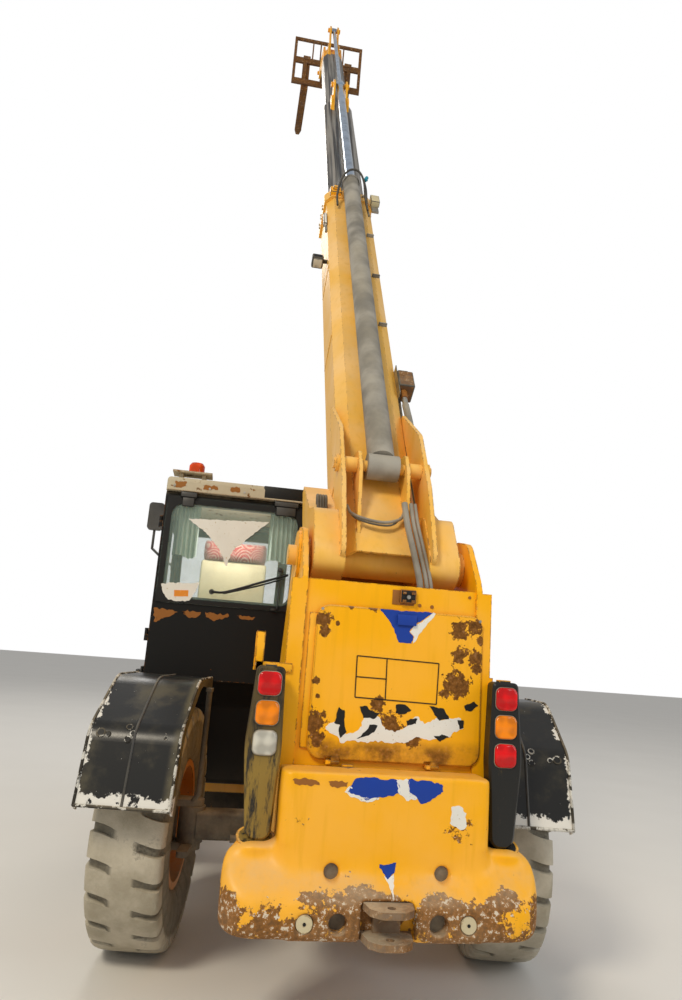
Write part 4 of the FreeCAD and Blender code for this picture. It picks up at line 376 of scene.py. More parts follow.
def boom_steel(name, top, plates_from, head_from):
    """A boom stage: bare steel with streaks along the boom, and yellow plates at its end."""
    material, tree, shader, where = new_material(name)
    from_foot = put(tree, "ShaderNodeVectorMath", {0: where, 1: BOOM_FOOT}, operation="SUBTRACT").outputs[0]
    along = put(tree, "ShaderNodeVectorMath", {0: from_foot, 1: BOOM_AXIS}, operation="DOT_PRODUCT").outputs["Value"]
    height = put(tree, "ShaderNodeVectorMath", {0: from_foot, 1: BOOM_UP}, operation="DOT_PRODUCT").outputs["Value"]
    across = put(tree, "ShaderNodeSeparateXYZ", {0: from_foot}).outputs["X"]
    place = put(tree, "ShaderNodeCombineXYZ", {
        "X": maths(tree, "MULTIPLY", across, 14.0), "Y": maths(tree, "MULTIPLY", along, 0.3),
        "Z": maths(tree, "MULTIPLY", height, 14.0)}).outputs[0]
    streak = put(tree, "ShaderNodeTexNoise", {"Vector": place, "Scale": 1.7, "Detail": 5.0}).outputs[0]
    fine = put(tree, "ShaderNodeTexNoise", {"Vector": place, "Scale": 9.0, "Detail": 7.0, "Roughness": 0.65}).outputs[0]
    steel = mixed(tree, fitted(tree, streak, 0.40, 0.60), (0.055, 0.052, 0.05, 1), (0.40, 0.37, 0.32, 1))
    steel = mixed(tree, maths(tree, "MULTIPLY", fitted(tree, fine, 0.5, 0.7), 0.5), steel, (0.17, 0.10, 0.05, 1))
    plates = maths(tree, "MULTIPLY", maths(tree, "GREATER_THAN", height, top),
                   maths(tree, "GREATER_THAN", along, plates_from))
    plates = maths(tree, "MAXIMUM", plates, maths(tree, "GREATER_THAN", along, head_from))
    yellow = colour4(tuple(bpy.context.scene.telehandler_finish.body_paint))
    rusty = mixed(tree, fitted(tree, fine, 0.60, 0.64), yellow, (0.12, 0.055, 0.02, 1))
    tree.links.new(mixed(tree, plates, steel, rusty), shader.inputs["Base Color"])
    tree.links.new(maths(tree, "MULTIPLY", maths(tree, "SUBTRACT", 1.0, plates), 0.75), shader.inputs["Metallic"])
    tree.links.new(maths(tree, "ADD", 0.24, maths(tree, "MULTIPLY", fine, 0.4)), shader.inputs["Roughness"])
    bump(tree, shader, fine, 0.0006)
    return material


def mudguard_material(corner):
    """Black moulded mudguard with torn white patches along its outer edge and its low end."""
    material, tree, shader, where = new_material("Mudguard " + corner.replace("_", " "), Specular_IOR_Level=0.45)
    joint = JOINTS[corner + "_spin"]
    side = -1.0 if corner.endswith("left") else 1.0
    away = Vector(joint["axis"]).normalized() * side
    from_wheel = put(tree, "ShaderNodeVectorMath", {0: where, 1: joint["pos_m"]}, operation="SUBTRACT").outputs[0]
    out = put(tree, "ShaderNodeVectorMath", {0: from_wheel, 1: away}, operation="DOT_PRODUCT").outputs["Value"]
    split = put(tree, "ShaderNodeSeparateXYZ", {0: from_wheel})
    low_end = 0.225 if corner.startswith("rear") else 0.56
    wide = put(tree, "ShaderNodeTexNoise", {"Vector": where, "Scale": 11.0, "Detail": 10.0, "Roughness": 0.68}).outputs[0]
    fine = put(tree, "ShaderNodeTexNoise", {"Vector": where, "Scale": 55.0, "Detail": 8.0, "Roughness": 0.7}).outputs[0]
    shake = maths(tree, "ADD", maths(tree, "MULTIPLY", maths(tree, "SUBTRACT", wide, 0.5), 0.16),
                  maths(tree, "MULTIPLY", maths(tree, "SUBTRACT", fine, 0.5), 0.03))
    edge = maths(tree, "MULTIPLY", fitted(tree, maths(tree, "ADD", out, shake), 0.208, 0.212),
                 fitted(tree, wide, 0.47, 0.50))
    low = maths(tree, "SUBTRACT", low_end + 0.045, maths(tree, "ADD", split.outputs["Z"], shake))
    low = maths(tree, "MULTIPLY", fitted(tree, low, 0.0, 0.004), fitted(tree, wide, 0.40, 0.42))
    white = maths(tree, "MAXIMUM", edge, low)
    specks = fitted(tree, fine, 0.69, 0.70)
    white = maths(tree, "MAXIMUM", white, specks)
    cloud = put(tree, "ShaderNodeTexNoise", {"Vector": where, "Scale": 3.4, "Detail": 9.0, "Roughness": 0.6}).outputs[0]
    dusty = maths(tree, "MULTIPLY", fitted(tree, cloud, 0.48, 0.72), 0.34)
    inner = maths(tree, "MULTIPLY", fitted(tree, out, -0.17, -0.215), fitted(tree, cloud, 0.3, 0.6))
    dusty = maths(tree, "MAXIMUM", dusty, maths(tree, "MULTIPLY", inner, 0.6))
    tone = mixed(tree, dusty, (0.010, 0.010, 0.0095, 1), (0.20, 0.165, 0.085, 1))
    tone = mixed(tree, white, tone, (0.74, 0.72, 0.67, 1))
    tree.links.new(tone, shader.inputs["Base Color"])
    rough = maths(tree, "ADD", 0.30, maths(tree, "MULTIPLY", maths(tree, "ADD", dusty, white), 0.5), clamp=True)
    tree.links.new(rough, shader.inputs["Roughness"])
    bump(tree, shader, maths(tree, "ADD", maths(tree, "MULTIPLY", white, 0.7), maths(tree, "MULTIPLY", fine, 0.2)), 0.0012)
    return material


def lamp_case_material():
    """Lamp case: black on the right; on the left, olive in streaky patches, most of all low down."""
    material, tree, shader, where = new_material("Lamp case", Specular_IOR_Level=0.4)
    split = put(tree, "ShaderNodeSeparateXYZ", {0: where})
    stretched = put(tree, "ShaderNodeMapping", {"Vector": where, "Scale": (26.0, 26.0, 5.0)}).outputs[0]
    scratch = put(tree, "ShaderNodeTexNoise", {"Vector": stretched, "Scale": 1.0, "Detail": 11.0, "Roughness": 0.75}).outputs[0]
    left = maths(tree, "LESS_THAN", split.outputs["X"], at(0.1, 0, 0).x)
    low = fitted(tree, split.outputs["Z"], at(0, 0, 1.30).z, at(0, 0, 1.08).z)
    film = maths(tree, "MULTIPLY", maths(tree, "MULTIPLY", left, maths(tree, "ADD", maths(tree, "MULTIPLY", low, 0.7), 0.3)),
                 fitted(tree, scratch, 0.60, 0.46))
    film = maths(tree, "MAXIMUM", film, maths(tree, "MULTIPLY", fitted(tree, scratch, 0.60, 0.68), 0.25))
    tree.links.new(mixed(tree, film, (0.011, 0.011, 0.010, 1), (0.27, 0.175, 0.035, 1)), shader.inputs["Base Color"])
    tree.links.new(maths(tree, "ADD", 0.34, maths(tree, "MULTIPLY", film, 0.45)), shader.inputs["Roughness"])
    bump(tree, shader, scratch, 0.0012)
    return material


def dark_metal(name, colour, dust_colour, dusty, gloss=0.55, grain=40.0, metallic=0.0):
    """Dark iron, rubber or plastic with grain and dust."""
    material, tree, shader, where = new_material(name, Metallic=metallic)
    groups = bpy.data.node_groups
    dust = put(tree, "ShaderNodeGroup", {}, node_tree=groups["Dust"])
    tree.links.new(where, dust.inputs["Vector"])
    dust.inputs["Amount"].default_value = dusty
    cloud = put(tree, "ShaderNodeTexNoise", {"Vector": where, "Scale": grain, "Detail": 8.0, "Roughness": 0.65}).outputs[0]
    wide = put(tree, "ShaderNodeTexNoise", {"Vector": where, "Scale": 4.0, "Detail": 5.0}).outputs[0]
    light = tuple(min(1.0, part * 2.1 + 0.01) for part in colour)
    base = mixed(tree, fitted(tree, wide, 0.35, 0.7), colour4(colour), colour4(light))
    tint = mixed(tree, maths(tree, "MULTIPLY", dust.outputs[0], 0.85), base, colour4(dust_colour))
    tree.links.new(tint, shader.inputs["Base Color"])
    rough = maths(tree, "ADD", gloss, maths(tree, "MULTIPLY", maths(tree, "SUBTRACT", cloud, 0.5), 0.35))
    rough = maths(tree, "ADD", rough, maths(tree, "MULTIPLY", dust.outputs[0], 0.35), clamp=True)
    tree.links.new(rough, shader.inputs["Roughness"])
    bump(tree, shader, maths(tree, "ADD", cloud, maths(tree, "MULTIPLY", dust.outputs[0], 0.3)), 0.001)
    return material


def bright_metal(name, colour, rough, stain, streaks=0.3):
    """Bare or plated steel with fine scratches along it, dull clouds and brown stains."""
    material, tree, shader, where = new_material(name, Metallic=1.0)
    along = put(tree, "ShaderNodeMapping", {"Vector": where, "Scale": (60.0, 6.0, 6.0)}).outputs[0]
    scratch = put(tree, "ShaderNodeTexNoise", {"Vector": along, "Scale": 12.0, "Detail": 6.0}).outputs[0]
    cloud = put(tree, "ShaderNodeTexNoise", {"Vector": where, "Scale": 7.0, "Detail": 7.0, "Roughness": 0.6}).outputs[0]
    spots = put(tree, "ShaderNodeGroup", {"Scale": 9.0, "Amount": stain, "Edge": 0.2},
                node_tree=bpy.data.node_groups["Blotches"])
    tree.links.new(where, spots.inputs["Vector"])
    dull = tuple(part * 0.62 for part in colour)
    base = mixed(tree, fitted(tree, cloud, 0.35, 0.7), colour4(colour), colour4(dull))
    base = mixed(tree, maths(tree, "MULTIPLY", spots.outputs[0], 0.6), base, (0.23, 0.12, 0.05, 1))
    tree.links.new(base, shader.inputs["Base Color"])
    level = maths(tree, "ADD", rough, maths(tree, "MULTIPLY", scratch, streaks))
    level = maths(tree, "ADD", level, maths(tree, "MULTIPLY", spots.outputs[0], 0.3), clamp=True)
    tree.links.new(level, shader.inputs["Roughness"])
    bump(tree, shader, scratch, 0.0004)
    return material


def lens_material(name, colour):
    """Moulded lamp lens with a fine grid of prisms, lit from inside by its own reflector."""
    material, tree, shader, where = new_material(name, Roughness=0.14, Specular_IOR_Level=0.4)
    grid = put(tree, "ShaderNodeMapping", {"Vector": where, "Scale": (95.0, 95.0, 95.0)}).outputs[0]
    split = put(tree, "ShaderNodeSeparateXYZ", {0: grid})
    ribs = maths(tree, "ADD", maths(tree, "SINE", split.outputs["X"]), maths(tree, "SINE", split.outputs["Z"]))
    blot = put(tree, "ShaderNodeTexNoise", {"Vector": where, "Scale": 9.0, "Detail": 2.0}).outputs[0]
    deep = tuple(part * 0.62 for part in colour)
    tone = mixed(tree, fitted(tree, maths(tree, "ADD", blot, maths(tree, "MULTIPLY", ribs, 0.08)), 0.35, 0.65),
                 colour4(deep), colour4(colour))
    tree.links.new(tone, shader.inputs["Base Color"])
    bump(tree, shader, ribs, 0.0012)
    return material


def glass_material(name, colour, dusty):
    """Tinted window glass under a film of dust, thicker towards its low edge."""
    material, tree, shader, where = new_material(name, Roughness=0.06, Transmission_Weight=0.0, IOR=1.45)
    cloud = put(tree, "ShaderNodeTexNoise", {"Vector": where, "Scale": 2.6, "Detail": 9.0, "Roughness": 0.6}).outputs[0]
    wipe = put(tree, "ShaderNodeTexNoise", {"Vector": where, "Scale": 26.0, "Detail": 6.0}).outputs[0]
    film = maths(tree, "MULTIPLY", fitted(tree, cloud, 0.3, 0.75), dusty)
    film = maths(tree, "ADD", film, maths(tree, "MULTIPLY", wipe, dusty * 0.5), clamp=True)
    tone = mixed(tree, film, colour4(colour), (0.62, 0.58, 0.46, 1))
    tree.links.new(tone, shader.inputs["Base Color"])
    rough = maths(tree, "ADD", 0.05, maths(tree, "MULTIPLY", film, 0.8), clamp=True)
    tree.links.new(rough, shader.inputs["Roughness"])
    tree.links.new(maths(tree, "ADD", 0.12, maths(tree, "MULTIPLY", film, 0.8), clamp=True), shader.inputs["Alpha"])
    return material


def tyre_material():
    """Worn rubber: pale dust on the lugs, painted shade as dark rubber down in the grooves, and an olive inner wall."""
    material, tree, shader, where = new_material("Tyre rubber", Specular_IOR_Level=0.3)
    tread = put(tree, "ShaderNodeAttribute", attribute_name="tread").outputs["Fac"]
    wide = put(tree, "ShaderNodeTexNoise", {"Vector": where, "Scale": 5.0, "Detail": 9.0, "Roughness": 0.62}).outputs[0]
    fine = put(tree, "ShaderNodeTexNoise", {"Vector": where, "Scale": 70.0, "Detail": 8.0, "Roughness": 0.72}).outputs[0]
    sand = mixed(tree, fitted(tree, wide, 0.3, 0.7), (0.56, 0.51, 0.41, 1), (0.36, 0.32, 0.24, 1))
    rubber = mixed(tree, fitted(tree, fine, 0.3, 0.7), (0.022, 0.021, 0.017, 1), (0.10, 0.09, 0.065, 1))
    worn = maths(tree, "MULTIPLY", tread, fitted(tree, maths(tree, "ADD", wide, maths(tree, "MULTIPLY", fine, 0.45)),
                                                 0.42, 0.72))
    worn = maths(tree, "ADD", worn, maths(tree, "MULTIPLY", tread, 0.45), clamp=True)
    tree.links.new(mixed(tree, worn, rubber, sand), shader.inputs["Base Color"])
    tree.links.new(maths(tree, "ADD", 0.72, maths(tree, "MULTIPLY", worn, 0.22)), shader.inputs["Roughness"])
    bump(tree, shader, maths(tree, "ADD", fine, maths(tree, "MULTIPLY", wide, 0.5)), 0.003)
    return material


def cloth_material(name, colour, other, weave=420.0):
    """Woven cloth with a second colour in blurred shapes."""
    material, tree, shader, where = new_material(name, Roughness=0.9, Sheen_Weight=0.3)
    warp = put(tree, "ShaderNodeMapping", {"Vector": where, "Scale": (weave, weave, weave)}).outputs[0]
    split = put(tree, "ShaderNodeSeparateXYZ", {0: warp})
    thread = maths(tree, "MULTIPLY", maths(tree, "SINE", split.outputs["X"]), maths(tree, "SINE", split.outputs["Z"]))
    cells = put(tree, "ShaderNodeTexVoronoi", {"Vector": where, "Scale": 9.0}).outputs["Distance"]
    ring = fitted(tree, maths(tree, "SINE", maths(tree, "MULTIPLY", cells, 42.0)), 0.1, 0.4)
    tone = mixed(tree, ring, colour4(colour), colour4(other))
    shade = put(tree, "ShaderNodeTexNoise", {"Vector": where, "Scale": 12.0, "Detail": 5.0}).outputs[0]
    tone = mixed(tree, maths(tree, "MULTIPLY", shade, 0.3), tone, (0.25, 0.22, 0.18, 1))
    tree.links.new(tone, shader.inputs["Base Color"])
    bump(tree, shader, thread, 0.0006)
    return material


def film_material(name, colour, under):
    """Torn plastic film: flat colour with scratches through to what lies under it."""
    material, tree, shader, where = new_material(name, Specular_IOR_Level=0.3)
    fine = put(tree, "ShaderNodeTexNoise", {"Vector": where, "Scale": 55.0, "Detail": 9.0, "Roughness": 0.72}).outputs[0]
    wide = put(tree, "ShaderNodeTexNoise", {"Vector": where, "Scale": 9.0, "Detail": 6.0}).outputs[0]
    faded = tuple(min(1.0, part * 0.85 + 0.008) for part in colour)
    tone = mixed(tree, wide, colour4(colour), colour4(faded))
    tone = mixed(tree, fitted(tree, fine, 0.62, 0.65), tone, colour4(under))
    tree.links.new(tone, shader.inputs["Base Color"])
    tree.links.new(maths(tree, "ADD", 0.3, maths(tree, "MULTIPLY", fine, 0.4)), shader.inputs["Roughness"])
    bump(tree, shader, fine, 0.0005)
    return material


def door_rust():
    """Places of the rust on the rear panel, with their radii."""
    marks = [(0.466, 1.782, 0.050), (0.540, 1.800, 0.040), (0.466, 1.662, 0.042), (0.553, 1.652, 0.040),
             (0.560, 1.605, 0.030), (0.458, 1.515, 0.070), (0.395, 1.468, 0.026), (0.130, 1.306, 0.060),
             (0.063, 1.395, 0.038), (0.240, 1.257, 0.050), (0.160, 1.262, 0.035), (-0.240, 1.780, 0.045),
             (-0.222, 1.730, 0.028), (-0.163, 1.771, 0.012), (-0.250, 1.490, 0.020), (-0.234, 1.419, 0.013),
             (-0.238, 1.300, 0.055), (-0.225, 1.225, 0.040), (0.008, 1.862, 0.024), (-0.10, 1.862, 0.018),
             (0.578, 1.74, 0.024), (0.090, 1.862, 0.03), (0.570, 1.845, 0.028)]
    return [(at(x, -0.864, z), radius) for x, z, radius in marks]


def build_materials():
    """All finishes, by the names that the pieces use."""
    finish = bpy.context.scene.telehandler_finish
    grain_group()
    edge_group()
    dust_group()
    worn_paint_group()
    yellow = tuple(finish.body_paint)
    boom = tuple(finish.boom_paint)
    dust = tuple(finish.dust)
    looks = {
        "yellow": painted("Machine yellow", yellow, Chips=0.08, Edge_wear=0.3, Dust_amount=-0.1, Fade=0.15),
        "chassis": painted("Chassis yellow", yellow, Chips=0.16, Edge_wear=0.45, Dust_amount=0.15, Fade=0.4),
        "door": rust_spots(painted("Rear panel yellow", yellow, Chips=0.10, Edge_wear=0.5, Dust_amount=-0.2, Fade=0.1,
                                   Primer_share=0.08),
                           door_rust(), at(0, 0, 1.262).z, at(0, 0, 1.175).z),
        "boom": painted("Boom yellow", boom, Chips=0.06, Edge_wear=0.25, Dust_amount=0.02, Fade=0.5, Gloss=0.42),
        "weight": chipped_low(painted(
            "Counterweight yellow", yellow, Chips=0.04, Edge_wear=0.1, Dust_amount=-0.15, Fade=0.15, Gloss=0.3,
            Primer=(0.74, 0.68, 0.56, 1), Primer_from=0.57, Primer_share=0.85, Rust=(0.26, 0.10, 0.012, 1)),
            at(0, 0, 0.68).z, at(0, 0, 0.60).z),
        "rim": painted("Rim orange", (0.62, 0.20, 0.01), Chips=0.2, Edge_wear=0.5, Dust_amount=0.25, Fade=0.4),
        "black": painted("Cab black", (0.008, 0.008, 0.008), Chips=0.08, Edge_wear=0.25, Dust_amount=-0.12, Fade=0.2,
                         Gloss=0.42),
        "roof": painted("Roof cream", (0.50, 0.44, 0.31), Chips=0.27, Edge_wear=0.6, Dust_amount=0.35, Fade=0.4,
                        Gloss=0.6),
        "grey": dark_metal("Ram grey", (0.17, 0.16, 0.14), (0.37, 0.33, 0.25), 0.25, gloss=0.75, grain=26.0),
        "iron": dark_metal("Dark iron", (0.022, 0.019, 0.016), dust, 0.3, gloss=0.6),
        "plastic": dark_metal("Black plastic", (0.018, 0.018, 0.019), (0.34, 0.30, 0.22), 0.12, gloss=0.42),
        "dusty plastic": dark_metal("Dusty plastic", (0.03, 0.028, 0.02), (0.40, 0.33, 0.20), 0.42, gloss=0.6),
        "hose": dark_metal("Hose rubber", (0.016, 0.015, 0.014), (0.42, 0.37, 0.28), 0.35, gloss=0.62, grain=90.0),
        "grey hose": dark_metal("Dusty pipe", (0.15, 0.14, 0.12), (0.42, 0.37, 0.28), 0.3, gloss=0.65, grain=60.0),
        "rust patch": film_material("Rust patch", (0.32, 0.12, 0.018), (0.03, 0.014, 0.008)),
        "lamp case": lamp_case_material(),
        "mid stage": boom_steel("Middle stage steel", 0.117, 7.70, 99.0),
        "inner stage": boom_steel("Inner stage steel", 0.083, 10.85, 11.05),
        "rusty": painted("Rusty iron", (0.13, 0.055, 0.02), Chips=0.55, Edge_wear=0.9, Dust_amount=0.15, Fade=0.3,
                         Gloss=0.7),
        "steel": bright_metal("Bare steel", (0.50, 0.49, 0.46), 0.3, 0.15),
        # Rod chrome: bare chrome whose blue tint is a painted sky reflection.
        "chrome": bright_metal("Rod chrome with painted sky tint", (0.50, 0.62, 0.78), 0.06, 0.02, streaks=0.12),
        "zinc": bright_metal("Zinc bolts", (0.55, 0.53, 0.48), 0.35, 0.30),
        "red": lens_material("Red lens", (0.82, 0.004, 0.006)),
        "amber": lens_material("Amber lens", (1.0, 0.27, 0.001)),
        "beacon": lens_material("Beacon dome", (0.90, 0.085, 0.004)),
        "clear": lens_material("Clear lens", (0.66, 0.64, 0.56)),
        "lens rim": dark_metal("Lens rim", (0.20, 0.18, 0.14), (0.40, 0.34, 0.24), 0.1, gloss=0.5),
        "glass": glass_material("Cab glazing", (0.36, 0.52, 0.47), 0.15),
        "tyre": tyre_material(),
        "seat": cloth_material("Seat cloth", (0.50, 0.46, 0.30), (0.42, 0.38, 0.26)),
        "cushion": cloth_material("Red cushion cloth", (0.30, 0.010, 0.018), (0.40, 0.25, 0.20)),
        "curtain": cloth_material("Pale curtain cloth", (0.66, 0.80, 0.70), (0.58, 0.74, 0.66)),
        "white film": film_material("White film", (0.86, 0.85, 0.80), (0.50, 0.40, 0.24)),
        "blue film": film_material("Blue film", (0.003, 0.045, 0.36), (0.008, 0.06, 0.36)),
        "black film": film_material("Black film", (0.007, 0.007, 0.007), (0.02, 0.018, 0.015)),
        "cyan film": film_material("Cyan tape", (0.02, 0.30, 0.42), (0.10, 0.30, 0.34)),
        "cream": painted("Cream plastic", (0.62, 0.54, 0.33), Chips=0.06, Edge_wear=0.2, Dust_amount=0.2),
        "edge strip": painted("Edge strip", (0.66, 0.65, 0.60), Chips=0.52, Edge_wear=0.3, Dust_amount=0.05, Fade=0.2,
                              Rust=(0.012, 0.012, 0.012, 1), Primer=(0.03, 0.03, 0.028, 1)),
        "orange film": film_material("Orange film", (0.85, 0.30, 0.03), (0.9, 0.6, 0.3)),
    }
    for corner in ("rear_left", "rear_right", "front_left", "front_right"):
        looks[corner + "_fender"] = mudguard_material(corner)
    return looks


LOOKS = {}

NODE_LOOKS = {
    "access_door": "door", "beacon": "beacon", "beacon_plate": "roof", "boom_inner": "inner stage", "boom_mid": "mid stage",
    "boom_outer": "boom", "boom_tower": "yellow", "cab_door": "black", "cab_frame": "black", "cab_glass": "glass",
    "cab_roof": "roof", "chassis_frame": "chassis", "console": "plastic", "counterweight": "weight",
    "door_glass": "glass", "engine_block": "iron", "engine_hood": "yellow", "engine_housing": "chassis",
    "fork_carriage": "rusty", "forks": "rusty", "lamp_housings": "lamp case", "lift_barrel": "black",
    "lift_rod": "chrome", "mirror": "plastic", "ram_barrel": "grey", "ram_rod_1": "chrome", "ram_rod_2": "chrome",
    "rear_axle": "iron", "front_axle": "iron", "seat": "seat", "side_tank": "black", "stabiliser_leg_left": "chassis",
    "stabiliser_leg_right": "chassis", "tail_lamps": "red", "tilt_barrel": "black", "tilt_rod": "chrome",
    "tow_hitch": "rusty",
}
WHEEL_LOOKS = {"tyre": "tyre", "rim": "rim", "knuckle": "iron"}


class TELEHANDLER_OT_stage(bpy.types.Operator):
    """Adds the floor, the light, the sky and the camera"""
    bl_idname = "telehandler.stage"
    bl_label = "Stage"

    def execute(self, context):
        scene = context.scene
        settings = scene.telehandler_camera
        self.floor(context)
        self.lamp(context, "Key light", (-7.0, -9.0, 11.0), 3.0, 1050.0, (1.0, 0.90, 0.72))
        self.lamp(context, "Side light", (8.0, -6.0, 6.0), 5.0, 230.0, (0.90, 0.95, 1.0))
        self.lamp(context, "Rim light", (-3.0, 12.0, 14.0), 5.0, 500.0, (1.0, 0.97, 0.92))
        self.lamp(context, "Cab light", (-0.70, 0.62, 2.52), 0.45, 9.0, (1.0, 0.97, 0.90), (-0.70, 1.15, 1.7))
        self.sky(scene)
        camera = bpy.data.cameras.new("Camera")
        camera.lens = settings.lens
        camera.sensor_width = 36.0
        camera.clip_start = 0.05
        camera.clip_end = 300.0
        holder = bpy.data.objects.new("Camera", camera)
        scene.collection.objects.link(holder)
        forward = Vector((math.sin(settings.yaw) * math.cos(settings.pitch),
                          math.cos(settings.yaw) * math.cos(settings.pitch), math.sin(settings.pitch)))
        flat = Vector((math.cos(settings.yaw), -math.sin(settings.yaw), 0))
        level_up = flat.cross(forward)
        right = math.cos(settings.roll) * flat + math.sin(settings.roll) * level_up
        up = -math.sin(settings.roll) * flat + math.cos(settings.roll) * level_up
        turn = Matrix((right, up, -forward)).transposed().to_4x4()
        holder.matrix_world = Matrix.Translation(GROUND + Vector(settings.place)) @ turn
        scene.camera = holder
        scene.view_settings.view_transform = "Standard"
        return {"FINISHED"}

    def floor(self, context):
        """A wide pale floor at the wheels' lowest point."""
        mesh = bpy.data.meshes.new("floor")
        half = 60.0
        low = CAD_BOX[0].z - 0.0005
        mesh.from_pydata([(-half, -half, low), (half, -half, low), (half, half, low), (-half, half, low)], [],
                         [(0, 1, 2, 3)])
        floor = bpy.data.objects.new("floor", mesh)
        context.scene.collection.objects.link(floor)
        material, tree, shader, where = new_material("Floor", Roughness=0.9)
        cloud = put(tree, "ShaderNodeTexNoise", {"Vector": where, "Scale": 0.8, "Detail": 5.0}).outputs[0]
        tree.links.new(mixed(tree, cloud, (0.80, 0.78, 0.74, 1), (0.74, 0.72, 0.68, 1)), shader.inputs["Base Color"])
        mesh.materials.append(material)

    def lamp(self, context, name, place, size, power, colour, target=(0.0, 0.5, 2.5)):
        """A square area lamp aimed at the machine's middle or another place on it."""
        light = bpy.data.lights.new(name, "AREA")
        light.size = size
        light.energy = power
        light.color = colour
        holder = bpy.data.objects.new(name, light)
        context.scene.collection.objects.link(holder)
        holder.location = GROUND + Vector(place)
        aim = GROUND + Vector(target) - holder.location
        holder.rotation_euler = aim.to_track_quat("-Z", "Y").to_euler()

    def sky(self, scene):
        """Even pale world light, white to the camera."""
        world = bpy.data.worlds.new("Pale world")
        world.use_nodes = True
        tree = world.node_tree
        path = put(tree, "ShaderNodeLightPath").outputs
        seen = maths(tree, "MAXIMUM", path["Is Camera Ray"], path["Is Transmission Ray"])
        strength = maths(tree, "ADD", maths(tree, "MULTIPLY", seen, 0.54), 0.46)
        background = tree.nodes["Background"]
        background.inputs["Color"].default_value = (1.0, 1.0, 1.0, 1.0)
        tree.links.new(strength, background.inputs["Strength"])
        scene.world = world


class TELEHANDLER_OT_dress_frame(bpy.types.Operator):
    """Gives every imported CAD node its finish"""
    bl_idname = "telehandler.dress_frame"
    bl_label = "Dress the frame"

    def execute(self, context):
        LOOKS.update(build_materials())
        for name, node in NODES.items():
            look = name if name in LOOKS else NODE_LOOKS.get(name) or WHEEL_LOOKS[name.rsplit("_", 1)[1]]
            for place in range(len(node.data.materials)):
                node.data.materials[place] = LOOKS[look]
        return {"FINISHED"}


# Building shapes

